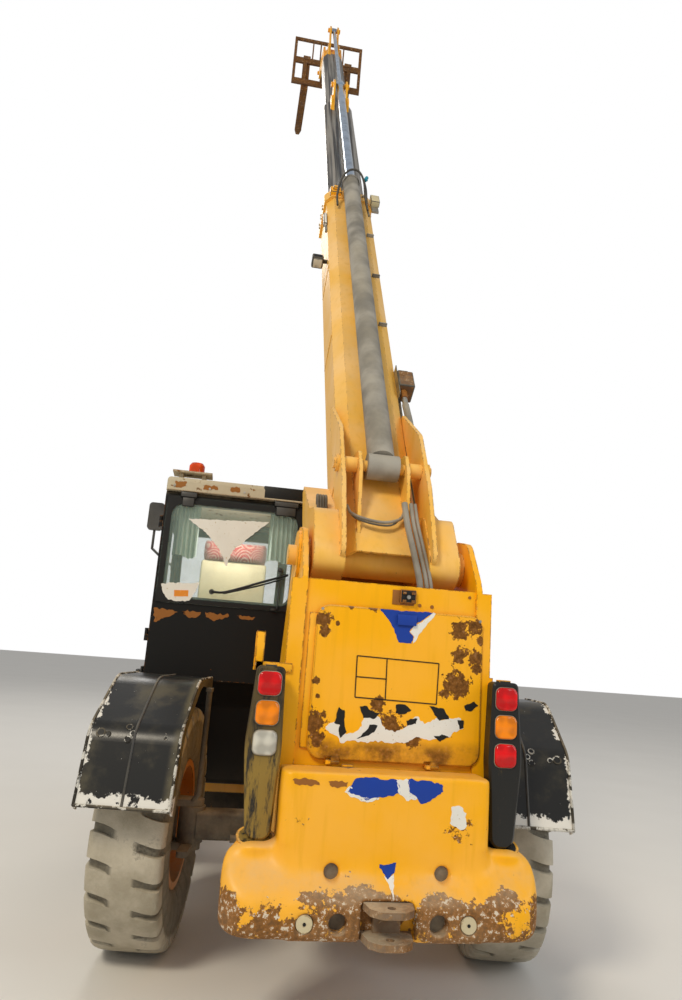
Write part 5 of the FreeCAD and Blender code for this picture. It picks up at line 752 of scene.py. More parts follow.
class Shape:
    """A mesh put together from simple closed solids, each with its own finish."""

    def __init__(self):
        self.mesh = bmesh.new()
        self.looks = []

    def mark(self, faces, look):
        """Gives the faces a finish."""
        if look not in self.looks:
            self.looks.append(look)
        for face in faces:
            face.material_index = self.looks.index(look)

    def block(self, low, high, look, soft=0.0):
        """A block between two corners, with softened edges."""
        low, high = Vector(low), Vector(high)
        matrix = Matrix.Translation((low + high) / 2) @ Matrix.Diagonal((*(high - low), 1.0))
        made = bmesh.ops.create_cube(self.mesh, size=1.0, matrix=matrix)["verts"]
        self.mark({face for vertex in made for face in vertex.link_faces}, look)
        if soft:
            edges = list({edge for vertex in made for edge in vertex.link_edges})
            bmesh.ops.bevel(self.mesh, geom=edges, offset=soft, segments=2, affect="EDGES", profile=0.5)
        return made

    def bar(self, start, end, radius, look, sides=18, end_radius=None):
        """A round bar or cone between two points."""
        start, end = Vector(start), Vector(end)
        way = end - start
        matrix = Matrix.Translation((start + end) / 2) @ way.to_track_quat("Z", "Y").to_matrix().to_4x4()
        made = bmesh.ops.create_cone(
            self.mesh, cap_ends=True, segments=sides, radius1=radius, depth=way.length, matrix=matrix,
            radius2=radius if end_radius is None else end_radius)["verts"]
        self.mark({face for vertex in made for face in vertex.link_faces}, look)

    def ball(self, centre, radius, look):
        """A ball."""
        made = bmesh.ops.create_icosphere(self.mesh, subdivisions=2, radius=radius,
                                          matrix=Matrix.Translation(Vector(centre)))["verts"]
        self.mark({face for vertex in made for face in vertex.link_faces}, look)

    def tube(self, points, radius, look, sides=10, steps=7):
        """A hose or bead that runs smoothly through the points."""
        path = smooth_path([Vector(point) for point in points], steps)
        side = (path[1] - path[0]).orthogonal().normalized()
        rings = []
        for place, point in enumerate(path):
            way = (path[min(place + 1, len(path) - 1)] - path[max(place - 1, 0)]).normalized()
            side = (side - way * side.dot(way)).normalized()
            other = way.cross(side)
            rings.append([self.mesh.verts.new(point + radius * (side * math.cos(turn) + other * math.sin(turn)))
                          for turn in (math.tau * step / sides for step in range(sides))])
        faces = [self.mesh.faces.new(rings[0][::-1]), self.mesh.faces.new(rings[-1])]
        for low, high in zip(rings, rings[1:]):
            for step in range(sides):
                after = (step + 1) % sides
                faces.append(self.mesh.faces.new((low[step], low[after], high[after], high[step])))
        self.mark(faces, look)

    def plate(self, outline, push, look):
        """A flat plate: an outline of points pushed through its thickness."""
        push = Vector(push)
        low = [self.mesh.verts.new(Vector(point)) for point in outline]
        high = [self.mesh.verts.new(Vector(point) + push) for point in outline]
        faces = [self.mesh.faces.new(low[::-1]), self.mesh.faces.new(high)]
        for place in range(len(low)):
            after = (place + 1) % len(low)
            faces.append(self.mesh.faces.new((low[place], low[after], high[after], high[place])))
        self.mark(faces, look)

    def pillow(self, outline, push, look):
        """A lens: an outline pushed out, with its front rounded off towards the middle."""
        push = Vector(push)
        middle = sum((Vector(point) for point in outline), Vector()) / len(outline)
        rings = [[self.mesh.verts.new(middle + (Vector(point) - middle) * wide + push * deep) for point in outline]
                 for wide, deep in ((1.0, 0.0), (1.0, 0.55), (0.965, 0.80), (0.90, 0.92), (0.75, 0.985), (0.4, 1.0))]
        faces = [self.mesh.faces.new(rings[0][::-1]), self.mesh.faces.new(rings[-1])]
        for low, high in zip(rings, rings[1:]):
            for place in range(len(outline)):
                after = (place + 1) % len(outline)
                faces.append(self.mesh.faces.new((low[place], low[after], high[after], high[place])))
        self.mark(faces, look)

    def ring(self, outer, inner, push, look):
        """A flat frame between two outlines with as many points."""
        push = Vector(push)
        loops = [[self.mesh.verts.new(Vector(point) + shift) for point in outline]
                 for outline, shift in ((outer, Vector()), (outer, push), (inner, push), (inner, Vector()))]
        faces = []
        for low, high in zip(loops, loops[1:] + loops[:1]):
            for place in range(len(outer)):
                after = (place + 1) % len(outer)
                faces.append(self.mesh.faces.new((low[place], low[after], high[after], high[place])))
        self.mark(faces, look)

    def finish(self, name, body, replaces=None, smooth=35.0):
        """Turns the shape into an object that rides a body."""
        bmesh.ops.triangulate(self.mesh, faces=[face for face in self.mesh.faces if len(face.verts) > 4],
                              ngon_method="EAR_CLIP")
        bmesh.ops.recalc_face_normals(self.mesh, faces=self.mesh.faces)
        mesh = bpy.data.meshes.new(name)
        self.mesh.to_mesh(mesh)
        self.mesh.free()
        for look in self.looks:
            mesh.materials.append(LOOKS[look])
        return place_mesh(mesh, name, body, replaces, smooth)


def place_mesh(mesh, name, body, replaces=None, smooth=35.0):
    """Links a mesh as an object on a body, smooth except at its sharp edges."""
    mesh.polygons.foreach_set("use_smooth", [True] * len(mesh.polygons))
    mesh.set_sharp_from_angle(angle=math.radians(smooth))
    thing = bpy.data.objects.new(name, mesh)
    bpy.context.scene.collection.objects.link(thing)
    for node in replaces or []:
        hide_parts(node)
    if body:
        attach(thing, body)
    return thing


def smooth_path(points, steps):
    """Points along a Catmull-Rom curve through the given ones."""
    if len(points) < 3:
        return points
    whole = [2 * points[0] - points[1], *points, 2 * points[-1] - points[-2]]
    path = []
    for a, b, c, d in zip(whole, whole[1:], whole[2:], whole[3:]):
        for step in range(steps):
            t = step / steps
            path.append(0.5 * ((2 * b) + (c - a) * t + (2 * a - 5 * b + 4 * c - d) * t * t
                               + (3 * b - a - 3 * c + d) * t ** 3))
    path.append(points[-1])
    return path


def torn(outline, step=0.010, ragged=0.004):
    """A flat outline with its sides broken into short ragged steps."""
    rough = []
    for start, end in zip(outline, outline[1:] + outline[:1]):
        start, end = Vector(start), Vector(end)
        count = max(1, round((end - start).length / step))
        across = (end - start).orthogonal().normalized()
        for place in range(count):
            point = start.lerp(end, place / count)
            shake = noise.noise(Vector((point.x * 61.0, point.y * 61.0, 3.7)))
            rough.append(point + across * shake * ragged)
    return rough


def soft_square(x0, x1, z0, z1, radius, steps=6):
    """Outline of a rectangle with round corners, in x and z."""
    outline = []
    for quarter, (x, z) in enumerate(((x1 - radius, z1 - radius), (x0 + radius, z1 - radius),
                                      (x0 + radius, z0 + radius), (x1 - radius, z0 + radius))):
        for step in range(steps + 1):
            turn = math.pi / 2 * (quarter + step / steps)
            outline.append((x + radius * math.cos(turn), z + radius * math.sin(turn)))
    return outline


def on_plane(outline, y):
    """Points on the machine from an outline in x and z."""
    return [at(x, y, z) for x, z in outline]


def rounded(corners, steps=6):
    """A polyline with its corners (y, z, radius) rounded."""
    path = []
    for place, (y, z, radius) in enumerate(corners):
        here = Vector((y, z))
        if place in (0, len(corners) - 1) or radius == 0:
            path.append(here)
            continue
        back = Vector(corners[place - 1][:2]) - here
        ahead = Vector(corners[place + 1][:2]) - here
        half = back.angle(ahead) / 2
        reach = radius / math.tan(half)
        first, last = here + back.normalized() * reach, here + ahead.normalized() * reach
        for step in range(steps + 1):
            t = step / steps
            path.append(first * (1 - t) ** 2 + here * 2 * t * (1 - t) + last * t ** 2)
    return path


# Wheels

CORNERS = ("rear_left", "rear_right", "front_left", "front_right")


def wheel_frame(corner):
    """Matrix from the wheel's own axes (X along its axle to the right, Z up) to the scene."""
    joint = JOINTS[corner + "_spin"]
    right = Vector(joint["axis"]).normalized()
    up = Vector((0, 0, 1))
    turn = Matrix((right, up.cross(right), up)).transposed().to_4x4()
    return Matrix.Translation(Vector(joint["pos_m"])) @ turn


class TELEHANDLER_OT_tyres(bpy.types.Operator):
    """Makes the four tyres with worn, slanting lugs"""
    bl_idname = "telehandler.tyres"
    bl_label = "Tyres"

    def section(self, radius, depth):
        """Half of the section, from the middle out and in to the bead: the lug's place and the groove's place."""
        low = radius - depth
        return [
            ((0.035, radius), (0.035, radius)), ((0.062, radius), (0.062, radius - 0.001)),
            ((0.080, radius - 0.0005), (0.082, low + depth * 0.3)), ((0.115, radius - 0.002), (0.112, low - 0.002)),
            ((0.150, radius - 0.005), (0.142, low - 0.006)), ((0.171, radius - 0.012), (0.158, low - 0.014)),
            ((0.1805, radius - 0.026), (0.168, low - 0.028)), ((0.1845, radius - 0.052), (0.175, low - 0.045)),
            ((0.184, radius - 0.084), (0.1795, radius - 0.092)), ((0.1800, radius - 0.104), (0.1800, radius - 0.106)),
            ((0.1850, 0.500), (0.1850, 0.500)), ((0.1872, 0.492), (0.1872, 0.492)), ((0.1872, 0.482), (0.1872, 0.482)),
            ((0.1855, 0.476), (0.1855, 0.476)), ((0.1860, 0.440), (0.1860, 0.440)), ((0.1800, 0.400), (0.1800, 0.400)),
            ((0.1690, 0.366), (0.1690, 0.366)), ((0.1585, 0.346), (0.1585, 0.346)), ((0.1495, 0.338), (0.1495, 0.338)),
            ((0.1490, 0.3140), (0.1490, 0.3140))]

    def lug_dust_and_groove_shade(self, groove, across, height, radius):
        """How much the place gets the pale dust: lug tops most and groove floors least, so the grooves come out dark as
        painted shade.
        """
        # Groove floors get the least dust colour: painted shade in the grooves.
        if groove and across > 0.06:
            return 0.22
        return 1.0 if height > radius - 0.06 else 0.28

    def build(self, corner, settings):
        radius = JOINTS[corner + "_spin"]["pos_m"][2] - CAD_BOX[0].z
        pitch = math.tau / settings.lugs
        share = 0.046 / (radius * pitch) / 2
        columns = [(-share, False), (-share + 0.028, True), (-0.04, True), (0.04, True), (share - 0.028, True),
                   (share, False), (0.26, False), (0.38, False), (0.5, False), (0.62, False), (0.74, False)]
        half = self.section(radius, settings.groove)
        rows = [(-1, place) for place in reversed(half)] + [(1, place) for place in half]
        mesh = bmesh.new()
        shares = []
        frame_of_wheel = wheel_frame(corner)
        rings = []
        for lug in range(settings.lugs):
            for offset, groove in columns:
                ring = []
                for side, (top, floor) in rows:
                    across, height = floor if groove else top
                    slope = -0.42 * math.sin(min(across, 0.16) / 0.16 * 1.35) * 0.16 / 1.25 * side
                    turn = (lug + offset + 0.25) * pitch + slope / radius
                    point = Vector((side * across, height * math.sin(turn), height * math.cos(turn)))
                    wear = noise.noise(point * 23.0 + Vector((lug * 0.7, 0, 0))) * 0.0022
                    reach = 1.0 - max(0.0, wear) / radius if height > 0.55 else 1.0
                    point = Vector((point.x, point.y * reach, point.z * reach))
                    ring.append(mesh.verts.new(frame_of_wheel @ point))
                    shares.append(self.lug_dust_and_groove_shade(groove, across, height, radius))
                rings.append(ring)
        for first, second in zip(rings, rings[1:] + rings[:1]):
            for place in range(len(rows)):
                after = (place + 1) % len(rows)
                mesh.faces.new((first[place], first[after], second[after], second[place]))
        bmesh.ops.recalc_face_normals(mesh, faces=mesh.faces)
        data = bpy.data.meshes.new(corner + "_tyre_tread")
        mesh.to_mesh(data)
        mesh.free()
        data.attributes.new("tread", "FLOAT", "POINT").data.foreach_set("value", shares)
        data.materials.append(LOOKS["tyre"])
        place_mesh(data, corner + "_tyre_tread", corner + "_wheel", [corner + "_tyre"], 38.0)

    def execute(self, context):
        for corner in CORNERS:
            self.build(corner, context.scene.telehandler_tyres)
        return {"FINISHED"}


class TELEHANDLER_OT_mudguards(bpy.types.Operator):
    """Adds the seam, the edge strips and the ringed holes of the mudguards"""
    bl_idname = "telehandler.mudguards"
    bl_label = "Mudguard trim"

    def profile(self, rear):
        """Outer line of the mudguard in the wheel's Y and Z."""
        if rear:
            return rounded([(0.100, 0.795, 0), (-0.330, 0.795, 0.260), (-0.700, 0.555, 0.150), (-0.790, 0.215, 0)])
        return rounded([(0.100, 0.795, 0), (-0.330, 0.795, 0.240), (-0.600, 0.565, 0)])

    def execute(self, context):
        for corner in CORNERS:
            shape = Shape()
            side = -1 if corner.endswith("left") else 1
            rear = corner.startswith("rear")
            to_scene = wheel_frame(corner)
            line = self.profile(rear)
            seat = lambda x, out: [to_scene @ Vector((x, *(point + self.outward(line, place) * out)))
                                   for place, point in enumerate(line)]
            shape.tube(seat(0.0, 0.0), 0.007, "plastic", sides=8, steps=1)
            for x in (-0.222, 0.222):
                shape.tube(seat(x, 0.001), 0.0075, "edge strip", sides=8, steps=1)
            end = line[-1]
            shape.tube([to_scene @ Vector((x, end.x, end.y + 0.003)) for x in (-0.224, 0.0, 0.224)], 0.008,
                       "edge strip", sides=8, steps=6)
            if rear:
                for x, z, radius in ((0.165, 0.535, 0.016), (0.128, 0.530, 0.010), (0.030, 0.512, 0.012),
                                     (0.012, 0.540, 0.010), (0.036, 0.566, 0.012), (-0.150, 0.53, 0.007)):
                    self.ringed_hole(shape, to_scene, line, x * side, z, radius)
            shape.finish(corner + "_mudguard_trim", corner + "_knuckle")
        return {"FINISHED"}

    def outward(self, line, place):
        """Unit normal of the line, away from the wheel."""
        way = (line[min(place + 1, len(line) - 1)] - line[max(place - 1, 0)]).normalized()
        normal = Vector((way.y, -way.x))
        return normal if normal.dot(line[place]) > 0 else -normal

    def ringed_hole(self, shape, to_scene, line, x, z, radius=0.010):
        """A moulded ring round a dark hole, square to the mudguard's skin."""
        place = min(range(len(line) - 1), key=lambda index: abs(line[index].y - z))
        for index in range(len(line) - 1):
            if min(line[index].y, line[index + 1].y) <= z < max(line[index].y, line[index + 1].y):
                place = index
        start, end = line[place], line[place + 1]
        spot = start.lerp(end, (z - start.y) / (end.y - start.y))
        way = (end - start).normalized()
        out = Vector((way.y, -way.x))
        out = out if out.dot(spot) > 0 else -out
        base = to_scene @ Vector((x, *(spot - out * 0.002)))
        top = to_scene @ Vector((x, *(spot + out * 0.003)))
        higher = to_scene @ Vector((x, *(spot + out * 0.0036)))
        shape.bar(base, top, radius * 1.5, "edge strip", sides=9)
        shape.bar(base, higher, radius, "black film", sides=11)


class TELEHANDLER_OT_wheel_nuts(bpy.types.Operator):
    """Sets rings of nuts and bolts on the hubs and screws on the tower's rear panel"""
    bl_idname = "telehandler.wheel_nuts"
    bl_label = "Nuts and bolts"

    def group(self):
        """Geometry nodes that set a nut on every point, turned along the point's own direction."""
        group = bpy.data.node_groups.new("Nuts on points", "GeometryNodeTree")
        sockets = [group.interface.new_socket(name, in_out="INPUT", socket_type=kind) for name, kind in (
            ("Geometry", "NodeSocketGeometry"), ("Nut radius", "NodeSocketFloat"), ("Nut height", "NodeSocketFloat"),
            ("Finish", "NodeSocketMaterial"))]
        group.interface.new_socket("Geometry", in_out="OUTPUT", socket_type="NodeSocketGeometry")
        given = group.nodes.new("NodeGroupInput").outputs
        result = group.nodes.new("NodeGroupOutput").inputs
        hexagon = put(group, "GeometryNodeMeshCylinder", {"Vertices": 6, "Radius": given[1], "Depth": given[2]})
        stud = put(group, "GeometryNodeMeshCylinder", {
            "Vertices": 10, "Radius": maths(group, "MULTIPLY", given[1], 0.5),
            "Depth": maths(group, "MULTIPLY", given[2], 1.6)})
        nut = put(group, "GeometryNodeJoinGeometry")
        group.links.new(hexagon.outputs["Mesh"], nut.inputs[0])
        group.links.new(stud.outputs["Mesh"], nut.inputs[0])
        way = put(group, "GeometryNodeInputNamedAttribute", {"Name": "way"}, data_type="FLOAT_VECTOR")
        turned = put(group, "FunctionNodeAlignRotationToVector", {"Vector": way.outputs[0]}, axis="Z")
        points = put(group, "GeometryNodeMeshToPoints", {"Mesh": given[0]})
        nuts = put(group, "GeometryNodeInstanceOnPoints", {
            "Points": points.outputs[0], "Instance": nut.outputs[0], "Rotation": turned.outputs[0]})
        real = put(group, "GeometryNodeRealizeInstances", {"Geometry": nuts.outputs[0]})
        dressed = put(group, "GeometryNodeSetMaterial", {"Geometry": real.outputs[0], "Material": given[3]})
        group.links.new(dressed.outputs[0], result[0])
        return group, [socket.identifier for socket in sockets]

    def scatter(self, name, body, places, radius, height, look):
        """Evaluates the group on a cloud of points and keeps the result as a plain mesh."""
        mesh = bpy.data.meshes.new(name)
        mesh.from_pydata([point for point, way in places], [], [])
        ways = [part for point, way in places for part in Vector(way).normalized()]
        mesh.attributes.new("way", "FLOAT_VECTOR", "POINT").data.foreach_set("vector", ways)
        thing = bpy.data.objects.new(name, mesh)
        bpy.context.scene.collection.objects.link(thing)
        modifier = thing.modifiers.new("Nuts", "NODES")
        modifier.node_group = self.tree
        for identifier, value in zip(self.inputs[1:], (radius, height, LOOKS[look])):
            modifier[identifier] = value
        thing.update_tag()
        graph = bpy.context.evaluated_depsgraph_get()
        plain = bpy.data.meshes.new_from_object(thing.evaluated_get(graph))
        bpy.data.objects.remove(thing)
        if not len(plain.polygons):
            raise RuntimeError(f"{name} came out empty")
        plain.materials.clear()
        plain.materials.append(LOOKS[look])
        place_mesh(plain, name, body)

    def execute(self, context):
        self.tree, self.inputs = self.group()
        for corner in CORNERS:
            side = -1 if corner.endswith("left") else 1
            to_scene = wheel_frame(corner)
            way = to_scene.to_3x3() @ Vector((side, 0, 0))
            ring = [(to_scene @ Vector((side * -0.008, 0.163 * math.sin(turn), 0.163 * math.cos(turn))), way)
                    for turn in (math.tau * step / 10 for step in range(10))]
            self.scatter(corner + "_wheel_nuts", corner + "_wheel", ring, 0.016, 0.028, "zinc")
            cap = [(to_scene @ Vector((side * 0.111, 0.075 * math.sin(turn), 0.075 * math.cos(turn))), way)
                   for turn in (math.tau * step / 8 for step in range(8))]
            self.scatter(corner + "_hub_bolts", corner + "_wheel", cap, 0.010, 0.012, "zinc")
        self.tower(context)
        return {"FINISHED"}

    def tower(self, context):
        """Screws at the rear panel's upper corners."""
        back = Vector((0, -1, 0))
        panel = [(at(x, -0.8785, z), back) for x, z in ((-0.245, 1.835), (0.565, 1.835))]
        self.scatter("panel_screws", "access_door", panel, 0.008, 0.007, "zinc")


# Rear of the machine

class TELEHANDLER_OT_counterweight(bpy.types.Operator):
    """Casts the counterweight with soft corners and a slightly wavy skin"""
    bl_idname = "telehandler.counterweight"
    bl_label = "Counterweight casting"

    def execute(self, context):
        node = NODES["counterweight"]
        whole = bmesh.new()
        whole.from_mesh(node.data)
        whole.transform(node.matrix_world)
        bmesh.ops.remove_doubles(whole, verts=whole.verts, dist=0.00001)
        mesh = bpy.data.meshes.new("casting")
        whole.to_mesh(mesh)
        whole.free()
        mesh.materials.clear()
        thing = bpy.data.objects.new("casting", mesh)
        context.scene.collection.objects.link(thing)
        drills = self.drills(context)
        holes = thing.modifiers.new("Holes", "BOOLEAN")
        holes.object = drills
        remesh = thing.modifiers.new("Even skin", "REMESH")
        remesh.mode = "VOXEL"
        remesh.voxel_size = 0.009
        graph = context.evaluated_depsgraph_get()
        skin = bpy.data.meshes.new_from_object(thing.evaluated_get(graph))
        bpy.data.objects.remove(thing)
        bpy.data.objects.remove(drills)
        self.soften(skin)
        skin.materials.clear()
        skin.materials.append(LOOKS["weight"])
        place_mesh(skin, "counterweight_casting", "chassis", ["counterweight"], 60.0)
        return {"FINISHED"}

    def drills(self, context):
        """Two rods that leave the blind holes in the block's rear face."""
        rods = Shape()
        for x, z in ((-0.143, 0.693), (0.359, 0.696)):
            rods.bar(at(x, -1.20, z), at(x, -0.995, z), 0.034, "weight", sides=32)
        mesh = bpy.data.meshes.new("drills")
        rods.mesh.to_mesh(mesh)
        rods.mesh.free()
        thing = bpy.data.objects.new("drills", mesh)
        context.scene.collection.objects.link(thing)
        return thing

    def smooth(self, soft, verts, times):
        """Evens the places of some vertices."""
        for _ in range(times):
            bmesh.ops.smooth_vert(soft, verts=verts, factor=0.5, use_axis_x=True, use_axis_y=True, use_axis_z=True)

    def soften(self, skin):
        """Smooths the skin, most of all on the bumper, and makes it wavy."""
        soft = bmesh.new()
        soft.from_mesh(skin)
        self.smooth(soft, soft.verts, 6)
        base = at(0, 0, 0)
        bumper = []
        for vertex in soft.verts:
            x, y, z = vertex.co - base
            low_hole = min(abs(x + 0.116), abs(x - 0.323), abs(x + 0.259), abs(x - 0.453)) < 0.065 and y < -1.06
            high_hole = min(abs(x + 0.146), abs(x - 0.357)) < 0.065 and z > 0.62
            if z < 0.80 and not (low_hole and z < 0.60 or high_hole or abs(x - 0.097) < 0.135 and z < 0.64):
                bumper.append(vertex)
        self.smooth(soft, bumper, 60)
        soft.normal_update()
        rear = at(0, -1.1648, 0).y
        for vertex in soft.verts:
            wave = noise.noise(vertex.co * 5.0) * 0.0022 + noise.noise(vertex.co * 21.0) * 0.0007
            vertex.co += vertex.normal * (wave - 0.0009)
            vertex.co.y = max(vertex.co.y, rear)
        soft.to_mesh(skin)
        soft.free()


class TELEHANDLER_OT_rear_lamps(bpy.types.Operator):
    """Makes the six rear lamps with their frames and lenses, and the round plates and caps beside them"""
    bl_idname = "telehandler.rear_lamps"
    bl_label = "Rear lamps"

    def execute(self, context):
        shape = Shape()
        columns = {-0.478: ("red", "amber", "clear"), 0.672: ("red", "amber", "red")}
        for x, lenses in columns.items():
            for z, lens in zip((1.467, 1.336, 1.205), lenses):
                shape.pillow(on_plane(soft_square(x - 0.0575, x + 0.0575, z - 0.0575, z + 0.0575, 0.032), -0.970),
                             (0, -0.018, 0), "lens rim")
                shape.pillow(on_plane(soft_square(x - 0.0535, x + 0.0535, z - 0.0535, z + 0.0535, 0.029), -0.972),
                             (0, -0.028, 0), lens)
        shape.finish("rear_lamps", "chassis", ["tail_lamps"], 50.0)
        plates = Shape()
        for x in (-0.478, 0.672):
            plates.bar(at(x, -0.930, 0.772), at(x, -0.940, 0.800), 0.080, "yellow", sides=36, end_radius=0.088)
            plates.bar(at(x, -0.9385, 0.796), at(x, -0.941, 0.803), 0.074, "lamp case", sides=36)
            plates.block(at(x - 0.03, -0.962, 1.540), at(x + 0.03, -0.915, 1.555), "plastic", 0.004)
        plates.finish("lamp_trim", "chassis")
        return {"FINISHED"}


class TELEHANDLER_OT_rear_panel(bpy.types.Operator):
    """Adds the torn films, the blank plate's frame, the latches and the seams of the rear panel"""
    bl_idname = "telehandler.rear_panel"
    bl_label = "Rear panel"

    def film(self, shape, outline, y, look, proud=0.0012, ragged=0.004):
        """A torn piece of film that lies on an upright face."""
        shape.plate(on_plane(torn(outline, 0.008, ragged), y + 0.0006), (0, -proud - 0.0006, 0), look)

    def laid(self, shape, skin, outline, look, proud=0.0014):
        """A torn film that follows the counterweight's skin, seen from behind."""
        def seat(x, z, out):
            hit = skin.ray_cast(at(x, -3.0, z), Vector((0, 1, 0)))[0]
            return hit + Vector((0, -out, 0))
        middle = sum(outline, Vector((0, 0))) / len(outline)
        loops = []
        for share, out in ((1.0, -0.001), (1.0, proud), (0.66, proud), (0.33, proud)):
            points = [middle + (point - middle) * share for point in outline]
            loops.append([shape.mesh.verts.new(seat(x, z, out)) for x, z in points])
        centre = shape.mesh.verts.new(seat(*middle, proud))
        faces = []
        for low, high in zip(loops, loops[1:]):
            for place in range(len(outline)):
                after = (place + 1) % len(outline)
                faces.append(shape.mesh.faces.new((low[place], low[after], high[after], high[place])))
        for place in range(len(outline)):
            faces.append(shape.mesh.faces.new((loops[-1][place], loops[-1][(place + 1) % len(outline)], centre)))
        shape.mark(faces, look)

    def execute(self, context):
        y = -0.864
        panel = Shape()
        blue = [(0.046, 1.855), (0.321, 1.861), (0.259, 1.811), (0.226, 1.795), (0.202, 1.757), (0.224, 1.734),
                (0.215, 1.698), (0.150, 1.701), (0.121, 1.767), (0.088, 1.814)]
        white = [(0.321, 1.861), (0.336, 1.855), (0.262, 1.762), (0.238, 1.719), (0.222, 1.698), (0.231, 1.735),
                 (0.205, 1.757), (0.231, 1.792), (0.265, 1.811)]
        self.film(panel, blue, y, "blue film")
        self.film(panel, white, y, "white film", ragged=0.006)
        band = [(-0.187, 1.279), (-0.150, 1.305), (-0.120, 1.330), (-0.112, 1.290), (-0.086, 1.250), (-0.040, 1.262),
                (-0.008, 1.290), (-0.002, 1.330), (0.040, 1.345), (0.074, 1.335), (0.106, 1.282), (0.150, 1.275),
                (0.194, 1.285), (0.228, 1.330), (0.266, 1.350), (0.300, 1.318), (0.330, 1.330), (0.357, 1.350),
                (0.384, 1.345), (0.440, 1.352), (0.482, 1.354), (0.503, 1.309), (0.455, 1.290), (0.426, 1.262),
                (0.367, 1.252), (0.300, 1.244), (0.262, 1.256), (0.226, 1.228), (0.137, 1.222), (0.060, 1.226),
                (0.004, 1.214), (-0.060, 1.222), (-0.100, 1.212), (-0.150, 1.246)]
        self.film(panel, band, y, "white film", ragged=0.010)
        for bit in ([(-0.026, 1.382), (0.010, 1.386), (0.030, 1.366), (0.075, 1.356), (0.052, 1.330), (-0.004, 1.330)],
                    [(-0.128, 1.372), (-0.100, 1.360), (-0.096, 1.300), (-0.084, 1.262), (-0.110, 1.232), (-0.124, 1.262),
                     (-0.116, 1.290), (-0.146, 1.300)],
                    [(0.154, 1.400), (0.200, 1.406), (0.234, 1.378), (0.192, 1.358), (0.156, 1.362)],
                    [(0.322, 1.406), (0.394, 1.397), (0.424, 1.352), (0.376, 1.338), (0.352, 1.366)],
                    [(0.501, 1.418), (0.552, 1.440), (0.572, 1.423), (0.540, 1.394), (0.507, 1.392)],
                    [(-0.030, 1.232), (0.006, 1.262), (0.030, 1.304), (0.068, 1.298), (0.052, 1.266), (0.010, 1.244)],
                    [(0.210, 1.330), (0.262, 1.342), (0.258, 1.318), (0.214, 1.304)],
                    [(0.352, 1.262), (0.392, 1.276), (0.428, 1.264), (0.384, 1.240)],
                    [(0.468, 1.346), (0.500, 1.346), (0.502, 1.312), (0.480, 1.304)]):
            self.film(panel, bit, y - 0.0012, "black film", proud=0.0010, ragged=0.006)
        corners = [(-0.055, 1.621), (0.362, 1.612), (0.357, 1.415), (-0.053, 1.424)]
        lines = list(zip(corners, corners[1:] + corners[:1]))
        lines += [((0.096, 1.618), (0.098, 1.421)), ((-0.054, 1.521), (0.097, 1.519))]
        for start, end in lines:
            panel.tube([at(start[0], y - 0.001, start[1]), at(end[0], y - 0.001, end[1])], 0.0028, "black film",
                       sides=6)
        panel.block(at(0.136, -0.8780, 1.786), at(0.234, -0.870, 1.839), "blue film", 0.002)
        panel.finish("rear_panel_films", "access_door")

        fixed = Shape()
        fixed.block(at(0.112, -0.8405, 1.888), at(0.226, -0.834, 1.962), "rust patch", 0.002)
        fixed.block(at(0.148, -0.858, 1.897), at(0.232, -0.838, 1.966), "black film", 0.005)
        for x, z in ((0.160, 1.948), (0.206, 1.948), (0.160, 1.908), (0.206, 1.908)):
            fixed.block(at(x, -0.866, z - 0.006), at(x + 0.018, -0.856, z + 0.006), "rusty", 0.002)
        fixed.bar(at(0.190, -0.868, 1.928), at(0.190, -0.856, 1.928), 0.010, "zinc", sides=14)
        for x, z, radius in ((0.256, 1.893, 0.009), (0.321, 1.891, 0.009), (0.52, 1.955, 0.008)):
            fixed.bar(at(x, -0.8395, z), at(x, -0.830, z), radius, "rust patch")
        fixed.block(at(-0.095, -0.864, 1.100), at(-0.038, -0.850, 1.113), "yellow", 0.003)
        fixed.block(at(-0.302, -0.8480, 1.176), at(-0.255, -0.8400, 1.816), "yellow", 0.001)
        # bent handle plate beside the tower, on the left
        fixed.block(at(-0.551, -0.862, 1.520), at(-0.511, -0.856, 1.706), "yellow", 0.001)
        fixed.block(at(-0.545, -0.862, 1.520), at(-0.370, -0.856, 1.562), "yellow", 0.001)
        fixed.block(at(-0.5505, -0.862, 1.700), at(-0.5115, -0.80, 1.706), "yellow", 0.001)
        fixed.finish("rear_panel_fittings", "chassis")

